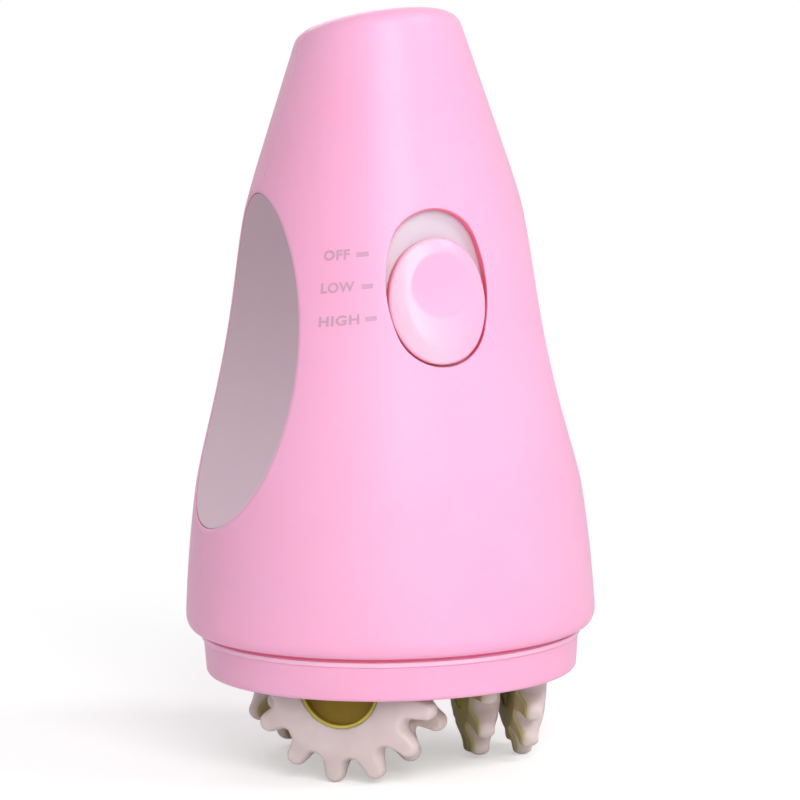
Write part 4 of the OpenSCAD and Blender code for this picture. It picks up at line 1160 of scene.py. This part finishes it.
def fingerOutline():
    tipR, valleyR = rollers["fingerRadius"], rollers["valleyRadius"]
    tipC, valleyC = rollers["tip"] - tipR, rollers["root"] + valleyR
    half = spin / 2
    pts = [(valleyC * deg(cos, half) + valleyR * deg(cos, a - half),
            -valleyC * deg(sin, half) + valleyR * deg(sin, a - half)) for a in np.linspace(180, 106, 8)]
    tip = [(tipC + tipR * deg(cos, a), tipR * deg(sin, a)) for a in np.linspace(-80, 80, 15)]
    pts += [tuple(lerp(np.array(pts[-1]), np.array(tip[0]), t)) for t in (1 / 3, 2 / 3)]
    return np.array(pts + tip + [(x, -y) for x, y in reversed(pts)])


def treadHalf(r):
    return lerp(rollers["half"], rollers["fingerHalf"], smoothStep((r - rollers["thinFrom"]) / rollers["thinOver"]))


def seamHeight(r):
    return rollers["backing"] - treadHalf(r)


def flatReach(points):
    return np.hypot(points[:, 0], points[:, 1])


def lifted(flat, z):
    return xyz(flat[:, 0], flat[:, 1], z)


class FingerStrip:
    # rows of points across one finger and its two half gaps
    def __init__(self):
        self.outline = fingerOutline()
        ends = np.concatenate([self.outline[-2:-1], self.outline, self.outline[1:2]])
        t = radians(spin)
        back = np.array([[cos(t), sin(t)], [-sin(t), cos(t)]])
        ends[0] = ends[0] @ back.T
        ends[-1] = ends[-1] @ back
        along = ends[2:] - ends[:-2]
        self.normal = np.stack([along[:, 1], -along[:, 0]], -1)
        self.normal /= np.linalg.norm(self.normal, axis=1, keepdims=True)
        turn = np.radians(np.linspace(-spin / 2, spin / 2, len(self.outline)))
        self.unit = np.stack([np.cos(turn), np.sin(turn)], -1)

    def circle(self, r, z):
        return lifted(self.unit * r, z)

    def inset(self, by):
        return self.outline - self.normal * np.reshape(by, (-1, 1))

    def edge(self, share, rise=0.0, extra=0.0, most=9.0):
        # points of the rounded edge, from the middle of the wheel (0) to the seam (1)
        r = flatReach(self.outline)
        z = seamHeight(r) * share + rise
        lean = 1 - np.sqrt(np.clip(1 - (z / np.minimum(treadHalf(r), most)) ** 2, 0, 1))
        return lifted(self.inset(rollers["round"] * lean + extra), z)

    def face(self, sign, innerRadius, most=9.0, past=None):
        def atFace(p, share=1.0):
            return lifted(p, sign * np.minimum(treadHalf(flatReach(p)), most) * share)

        r = flatReach(self.outline)
        half = np.minimum(treadHalf(r), most)
        first = 0 * r if past is None else np.arcsin(np.clip((past - seamHeight(r)) / half, 0, 1))
        turns = [lerp(first, pi / 2, t) for t in np.linspace(0, 1, 8)]
        rows = [atFace(self.inset(rollers["round"] * (1 - np.cos(b))), np.sin(b)) for b in turns]
        inset = self.inset(rollers["round"])
        return rows + [atFace(lerp(inset, self.unit * innerRadius, k)) for k in np.linspace(0, 1, 9)[1:]]

    def seam(self, radius, drop, outer):
        rows = [lerp(self.circle(radius, seamHeight(radius) - drop), outer, t) for t in np.linspace(0, 1, 5)]
        for row in rows[1:-1]:
            row[:, 2] = seamHeight(flatReach(row)) - drop
        return rows


strip = FingerStrip()


def makeTread():
    h, f, c, step, gap = (rollers[name] for name in ("half", "faceRadius", "coreRadius", "step", "seamGap"))
    rows = strip.face(1, f + 0.5)
    rows += [strip.circle(f + 0.15, h - 0.12), strip.circle(f, h - 0.45), strip.circle(f, step), strip.circle(c, step)]
    rows += strip.seam(c, 0, strip.edge(1, extra=gap)) + [strip.edge(1, rise=gap), strip.edge(0.5)]
    return gridObject("tread", rows + rows[:1], smooth=50)


def makeCore():
    h, radius, step, gap, back = (cores[name] for name in ("half", "coreRadius", "step", "seamGap", "backRadius"))
    face, boss, bore, recess, backBoss = (cores[name] for name in (
        "faceRadius", "boss", "bore", "recessRadius", "backBoss"))
    split, floor, backFloor = float(seamHeight(radius)) - gap, h - cores["recess"], cores["backRecess"] - h
    past = 20  # stands for the fingers, which follow their own outline
    profile = roundedProfile([
        (bore, h, 0.15), (boss, h, 0.3), (boss, floor, 0.4), (recess, floor, 0.6), (recess, h, 0.35), (face, h, 0.25),
        (face, step, 0), (radius, step, 0), (radius, split, 0), (past, split, 0), (past, -h, 0), (back, -h, 0.3),
        (back, backFloor, 0.3), (backBoss, backFloor, 0.3), (backBoss, -h, 0.3), (bore, -h, 0.15)])
    first = profile.index((past, split))
    rows = [strip.circle(r, z) for r, z in profile[:first - 1]]
    rows += strip.seam(radius, gap, strip.edge(1, -gap, rollers["seamGap"], h + 0.3))
    rows += strip.face(-1, back + 0.8, h, rollers["seamGap"])
    rows += [strip.circle(r, z) for r, z in profile[first + 2:]]
    body = gridObject("core", rows + rows[:1], smooth=40)
    grown(body, roundTree, {"Count": rollers["fingers"]})
    low, high, w, r = -h + 0.1, backFloor + 0.4, cores["ribHalf"], cores["ribRound"]
    section = [(-w, high), (-w, low + r), (r - w, low), (w - r, low), (w, low + r), (w, high), (-w, high)]
    rib = gridObject("rib", [[(x, y, z) for y, z in section] for x in (backBoss - 0.5, back + 0.5)])
    grown(rib, roundTree, {"Count": cores["ribs"]})
    return joined("core", [body, rib])


def markWheel(tread, core):
    # seam: 1 where the soft tread lies on the lime fingers, falling to 0 in front of them
    points = spots(tread)
    mark(tread, "seam", 1 - smoothStep((points[:, 2] - seamHeight(flatReach(points))) / rollers["glow"]))
    # hollow: 1 on the floor and the wall of the recess round the axle, for painted shade there; far: 0 at the hub, 1
    # along the fingers
    points = spots(core)
    reach, z = flatReach(points), points[:, 2]
    mark(core, "hollow", (z > 0) & (z < cores["half"] - 0.2) & (reach < cores["recessRadius"] + 0.05))
    mark(core, "far", np.clip((reach - cores["paleFrom"]) / cores["paleOver"], 0, 1))


def makeRollers():
    tread, core = makeTread(), makeCore()
    markWheel(tread, core)
    grown(tread, roundTree, {"Count": rollers["fingers"]}, smooth=60)
    for pair, pairTurn in enumerate(rollers["turns"], 1):
        for row, rho, turn in rollers["rows"]:
            place = Matrix.Translation((rho * mm, 0, rollers["axleZ"] * mm)) @ Matrix.Rotation(pi / 2, 4, "Y")
            place = Matrix.Rotation(radians(pairTurn), 4, "Z") @ place @ Matrix.Rotation(radians(turn * spin), 4, "Z")
            for made, part, slot in ((tread, "tyre", "milky_tread"), (core, "core", "lime_core")):
                piece = placed(f"{row}{part.capitalize()}{pair}", made.data.copy())
                piece.data.transform(place)
                piece.data.name = piece.name
                fit(piece, f"{row}_roller_{pair}", f"{row}_{part}_{pair}", slot)
    print("rollers", len(tread.data.polygons), len(core.data.polygons))
    for made in (tread, core):
        bpy.data.meshes.remove(made.data)


makeRollers()


# screws with a cross recess

screws = {
    "sizes": {
        "Head Radius": 2.5,
        "Head Top": 2.1,
        "Head Height": 1.7,
        "Shank Radius": 1.24,
        "Recess Length": 2.7,
        "Recess Width": 0.55,
        "Recess Depth": 0.9,
    },
    "shellShank": 14.3,
    "tableShank": 10.0,
    "tableZ": 37.2323,
}


def crossScrew():
    # a screw on each point of the mesh it is given, its head towards the turned z axis
    floats = [*screws["sizes"], "Shank Length"]
    g, entry = geometryTree("crossScrew", [(label, "Float") for label in floats]
                            + [("Turn", "Vector"), ("Material", "Material")])
    size = {label: entry.pick(label) for label in floats}

    def moved(shape, height):
        return g.node("GeometryNodeTransform", {"Geometry": shape, "Translation": g.upright(height)})

    head = g.node("GeometryNodeMeshCone", {"Vertices": 40, "Radius Top": size["Head Top"],
                                           "Radius Bottom": size["Head Radius"], "Depth": size["Head Height"]})
    for across, along in (("X", "Y"), ("Y", "X")):
        extent = g.node("ShaderNodeCombineXYZ", {
            across: size["Recess Length"], along: size["Recess Width"], "Z": 2 * size["Recess Depth"]})
        slot = moved(g.node("GeometryNodeMeshCube", {"Size": extent}), size["Head Height"])
        head = g.node("GeometryNodeMeshBoolean", {"Mesh 1": head, "Mesh 2": slot}, operation="DIFFERENCE")
    shank = moved(g.node("GeometryNodeMeshCylinder", {
        "Vertices": 24, "Radius": size["Shank Radius"], "Depth": size["Shank Length"]}), 0 - size["Shank Length"] / 2)
    whole = g.node("GeometryNodeJoinGeometry", {"Geometry": head})
    g.tree.links.new(shank.socket, whole.socket.node.inputs["Geometry"])
    return closeTree(g, entry, g.node("GeometryNodeInstanceOnPoints", {
        "Points": entry.pick("Geometry"), "Instance": whole, "Rotation": entry.pick("Turn")}))


screwTree = crossScrew()


def makeScrews(name, body, node, places, turn, shank):
    mesh = bpy.data.meshes.new(name)
    mesh.from_pydata([tuple(v * mm for v in place) for place in places], [], [])
    piece = placed(name, mesh)
    sizes = {label: value * mm for label, value in screws["sizes"].items()}
    fit(grown(piece, screwTree, sizes | {"Shank Length": shank * mm, "Turn": turn}), body, node, "steel")
    print(name, len(piece.data.polygons))


makeScrews("shellScrews", "housing", "shell_screws", [(x, wells["floorY"], z) for x, z in wells["places"]],
           (-pi / 2, 0, 0), screws["shellShank"])
makeScrews("tableScrew", "rotor", "turntable_screw", [(0, 0, screws["tableZ"])], (pi, 0, 0), screws["tableShank"])


# switch words, printed on the flank beside the window

labels = {
    "rows": [("OFF", -45.1, -34.4, 133.2), ("LOW", -45.3, -32.2, 125.2), ("HIGH", -45.3, -30.2, 117.0)],
    "dashes": [(-31.8, -27.0, 134.4), (-29.6, -25.3, 126.6), (-28.1, -24.0, 118.7)],
    "height": 2.55,
    "dashHeight": 1.15,
    "tilt": 5.5,
    "lift": 0.05,
    "weight": 0.035,
    "spacing": 1.12,
}


def wrapped(name, flat, faces, left, right, low, height):
    # lays a flat drawing over the arc from left to right, rising by the tilt
    flat = np.array(flat)
    u, v = ((flat - flat.min(0)) / (flat.max(0) - flat.min(0))).T
    width = radians(right - left) * float(flankRadius(low))
    z = low + v * height + u * width * deg(tan, labels["tilt"])
    turn, r = np.radians(left + (right - left) * u), flankRadius(z) + labels["lift"]
    points = xyz(r * np.sin(turn), -r * np.cos(turn), z) * mm
    fit(makeObject(name, points, faces, smooth=30, weld=0), "housing", None, "grip_rubber", "word_ink")


def makeWord(word, left, right, low):
    letters = bpy.data.curves.new(word, "FONT")
    letters.body, letters.offset, letters.space_character = word, labels["weight"], labels["spacing"]
    writing = placed(word, letters)
    mesh = evaluated(writing)
    flat = [(v.co.x, v.co.y) for v in mesh.vertices]
    faces = [tuple(f.vertices) for f in mesh.polygons]
    bpy.data.objects.remove(writing)
    bpy.data.meshes.remove(mesh)
    wrapped("word" + word.capitalize(), flat, faces, left, right, low, labels["height"])


for row in labels["rows"]:
    makeWord(*row)
for k, dash in enumerate(labels["dashes"]):
    flat = [(x, y) for y in (0, 1) for x in np.linspace(0, 1, 9)]
    wrapped(f"dash{k + 1}", flat, gridFaces(2, 9, False), *dash, labels["dashHeight"])
print("switch words")


# finishes

def surface(g, colour, rough, gloss, grain, depth, strength, detail=3):
    # gloss: scale and share of the uneven roughness; grain: scale and detail of the fine bumps
    return {
        "Base Color": colour,
        "Roughness": rough + g.noise(gloss[0], detail) * gloss[1],
        "Normal": g.bump(g.noise(*grain), depth, strength),
    }


def softened(made, weight, radius):
    # light spreads under the surface, up to this far in metres for each colour
    return made | {"Subsurface Weight": weight, "Subsurface Radius": radius, "Subsurface Scale": 1.0}


def pinkGloss(g, colour=(251, 178, 213), shade=(250, 172, 208)):
    pink = g.blend(g.ramp(g.noise(14, 3), 0.35, 0.65), tint(*colour), tint(*shade))
    # painted shade: on the marked gap walls the pink turns hot pink, standing in for the reddish shade in the gaps
    deep = g.blend(g.field("deep"), pink, tint(255, 122, 152))
    made = softened(surface(g, deep, 0.36, (60, 0.08), (900, 2), 0.00002, 0.5), 0.25, (0.006, 0.0012, 0.002))
    return made | {"Specular IOR Level": 0.28, "Coat Weight": 0.08, "Coat Roughness": 0.2}


def ringPink(g):
    made = pinkGloss(g, (250, 179, 213), (249, 173, 208))
    lipZ = (baseRing["lowZ"] + baseRing["height"] - baseRing["lipHeight"]) * mm
    high = g.height()
    # painted highlight: the upper lip is painted paler, as if it caught the light; painted shade: the band just above
    # the ring is painted hot pink, standing in for the reddish shade in the gap under the shells
    lip = g.ramp(high, lipZ, lipZ + 0.3 * mm)
    neckPaintedShade = g.ramp(high, lipZ + 1.25 * mm, lipZ + 1.4 * mm)
    made["Base Color"] = g.blend(neckPaintedShade, g.blend(lip, made["Base Color"], tint(255, 200, 224)), tint(255, 124, 160))
    return made


def buttonGloss(g):
    made = pinkGloss(g)
    rub = g.field("rub")
    # painted highlight: the marked rim and swell are painted paler; the lower roughness there is real polishing
    made["Base Color"] = g.blend(rub, made["Base Color"], tint(253, 192, 217))
    made["Roughness"] = 0.3 - rub * 0.1 + g.noise(120, 3) * 0.06
    return made


def gripRubber(g):
    # painted shade: the pad is painted darker towards its top, as light from above would leave it
    mauveShadedTop = g.blend(g.ramp(g.height(), 0.062, 0.148), tint(226, 198, 211), tint(196, 165, 178))
    return surface(g, mauveShadedTop, 0.5, (90, 0.12), (2600, 2), 0.00008, 0.6)


def limeCore(g):
    cloud = g.ramp(g.noise(45, 4, (1, 1, 2.5)), 0.3, 0.7)
    lime = g.blend(g.field("far"), g.blend(cloud, tint(198, 187, 88), tint(182, 170, 74)), tint(182, 168, 122))
    # painted shade: the recess round the axle is painted a darker, browner lime
    limeShadedHollow = g.blend(g.field("hollow"), lime, tint(152, 128, 48))
    return surface(g, limeShadedHollow, 0.5, (120, 0.14), (1100, 2), 0.00003, 0.5) | {"Specular IOR Level": 0.15}


def milkyTread(g):
    milk = g.blend(g.ramp(g.noise(70, 4), 0.3, 0.7), tint(218, 203, 201), tint(208, 192, 190))
    milk = g.blend(g.field("seam") * 0.55, milk, tint(204, 197, 150))
    return softened(surface(g, milk, 0.4, (150, 0.14), (800, 3), 0.00006, 0.6), 0.5, (0.006, 0.005, 0.004))


def plastic(cloud, first, second, *rest):
    # two close colours in soft clouds
    return lambda g: surface(g, g.blend(g.noise(*cloud), tint(*first), tint(*second)), *rest)


def metal(cloud, first, second, grain, rough, spread, strength, soft=None):
    # the marks of the work lie in the gloss and in the grain alike
    def make(g):
        lines, patches = g.noise(*grain), g.noise(*cloud)
        patches = g.ramp(patches, *soft) if soft else patches
        return {"Base Color": g.blend(patches, tint(*first), tint(*second)), "Metallic": 1.0,
                "Roughness": rough + lines * spread, "Normal": g.bump(lines, 0.00002, strength)}

    return make


def cellSleeve(g):
    # a plain sleeve with a paler band at one end, bare metal on the end faces
    low, high = (corner[2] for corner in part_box("battery_cells"))
    z = g.height()
    ends = g.ramp(z, high - 1.4 * mm, high - 1.1 * mm) + 1 - g.ramp(z, low + 1.1 * mm, low + 1.4 * mm)
    sleeve = g.blend(g.ramp(z, high - 12.5 * mm, high - 12.2 * mm), tint(52, 84, 128), tint(206, 208, 212))
    made = surface(g, g.blend(ends, sleeve, tint(200, 202, 204)), 0.3, (120, 0.12), (700, 2), 0.00002, 0.4)
    return made | {"Metallic": ends * 0.95}


def wordInk(g):
    return {
        "Base Color": g.blend(g.noise(900, 3), tint(206, 158, 184), tint(198, 149, 176)),
        "Roughness": 0.45 + g.noise(300, 2) * 0.1,
    }


def finish(name, make):
    # a material whose principled sockets come from make(graph)
    made = bpy.data.materials.new(name)
    made.use_nodes = True
    graph = Graph(made.node_tree)
    shader = graph.node("ShaderNodeBsdfPrincipled", make(graph))
    graph.node("ShaderNodeOutputMaterial", {"Surface": shader})
    return made


finishes = {slot: finish(name, make) for slot, name, make in (
    ("pink_gloss", "pinkGloss", pinkGloss),
    ("ring_pink", "ringPink", ringPink),
    ("button_gloss", "buttonGloss", buttonGloss),
    ("word_ink", "wordInk", wordInk),
    ("grip_rubber", "gripRubber", gripRubber),
    ("lime_core", "limeCore", limeCore),
    ("milky_tread", "milkyTread", milkyTread),
    ("cell_sleeve", "cellSleeve", cellSleeve),
    ("plate_grey", "plateGrey", plastic(
        (30, 2), (206, 196, 208), (198, 187, 200), 0.42, (80, 0.1), (1500, 2), 0.00003, 0.5, 2)),
    ("turntable_plastic", "turntablePlastic", plastic(
        (25, 3), (236, 230, 224), (222, 214, 206), 0.38, (90, 0.12), (1300, 2), 0.00004, 0.6)),
    ("natural_plastic", "naturalPlastic", plastic(
        (35, 3), (236, 234, 222), (222, 219, 204), 0.34, (100, 0.12), (1400, 2), 0.00003, 0.5)),
    ("black_plastic", "blackPlastic", plastic(
        (50, 3), (46, 46, 49), (34, 34, 36), 0.48, (130, 0.14), (1700, 2), 0.00006, 0.7)),
    ("steel", "zincSteel", metal(
        (160, 3), (196, 198, 202), (170, 172, 178), (500, 4, (1, 1, 0.12)), 0.26, 0.2, 0.6)),
    ("motor_can", "motorCan", metal(
        (60, 3), (204, 204, 206), (178, 176, 172), (320, 3, (1, 1, 0.05)), 0.3, 0.18, 0.5, (0.35, 0.7))),
    ("brass", "brass", metal(
        (140, 3), (214, 176, 108), (184, 140, 78), (260, 3, (0.2, 0.2, 6)), 0.26, 0.18, 0.5)),
)}
slots = {part["node"]: part["material_slot"] for part in frame["record"]["subparts"]}
pieces += [(cadPiece, slots[node]) for node, cadPiece in frame["nodes"].items() if node in slots]
for piece, look in pieces:
    piece.data.materials.clear()
    piece.data.materials.append(finishes[look])
print("finishes", len(finishes))


# floor, world and lights

studio = {
    "floorSize": 6.0,
    "worldStrength": 0.38,
    "lamps": [  # power, size, place
        ("key", 16.5, 1.0, (-0.2, -1.4, 0.85)),
        ("fill", 6.0, 0.5, (0.9, -0.75, 1.1)),
        ("back", 5.0, 1.0, (0.1, 1.4, 0.9)),
    ],
    "lampAim": (0, 0, 0.1),
    "floorShare": 0.85,  # how much of the floor's own light the camera sees near the object
    "floorLevel": 0.69,  # brightness of the bare floor under these lamps
    "floorFade": (0.13, 0.3),  # the floor's own light fades out between these distances
}


def makeFloor():
    half = studio["floorSize"] / 2
    floor = makeObject("floor", [(-half, -half, 0), (half, -half, 0), (half, half, 0), (-half, half, 0)],
                       [(0, 1, 2, 3)], smooth=30, weld=0)
    made = bpy.data.materials.new("paleFloor")
    made.use_nodes = True
    g = Graph(made.node_tree)
    direct = g.node("ShaderNodeLightPath").pick("Is Camera Ray")
    matt = g.node("ShaderNodeBsdfDiffuse", {
        "Color": g.blend(g.noise(3, 2), (0.9, 0.9, 0.9, 1), (0.92, 0.91, 0.91, 1))})
    reach = g.node("ShaderNodeVectorMath", {0: g.place()}, operation="LENGTH").pick("Value")
    share = studio["floorShare"] * (1 - g.ramp(reach, *studio["floorFade"]))
    glow = g.node("ShaderNodeEmission", {
        "Color": (1, 1, 1, 1), "Strength": (1 - share * studio["floorLevel"]) / (1 - share)})
    mixed = g.node("ShaderNodeMixShader", {0: direct * (1 - share), 1: matt, 2: glow})
    g.node("ShaderNodeOutputMaterial", {"Surface": mixed})
    floor.data.materials.append(made)


def makeWorld():
    world = bpy.data.worlds.new("studio")
    world.use_nodes = True
    g = Graph(world.node_tree)
    path = g.node("ShaderNodeLightPath")
    seen = path.pick("Is Camera Ray") + path.pick("Is Glossy Ray") + path.pick("Is Transmission Ray")
    strength = g.maths("MAXIMUM", g.maths("MINIMUM", seen, 1.0), studio["worldStrength"])
    back = g.node("ShaderNodeBackground", {"Color": (1, 1, 1, 1), "Strength": strength})
    g.node("ShaderNodeOutputWorld", {"Surface": back})
    scene.world = world


def makeLamp(name, power, size, at):
    lamp = bpy.data.lights.new(name, "AREA")
    lamp.shape, lamp.energy, lamp.size = "DISK", power, size
    aim = Vector(studio["lampAim"]) - Vector(at)
    placed(name, lamp).matrix_world = Matrix.Translation(at) @ aim.to_track_quat("-Z", "Y").to_matrix().to_4x4()


makeFloor()
makeWorld()
for lamp in studio["lamps"]:
    makeLamp(*lamp)
scene.view_settings.view_transform = "Standard"
print("studio")
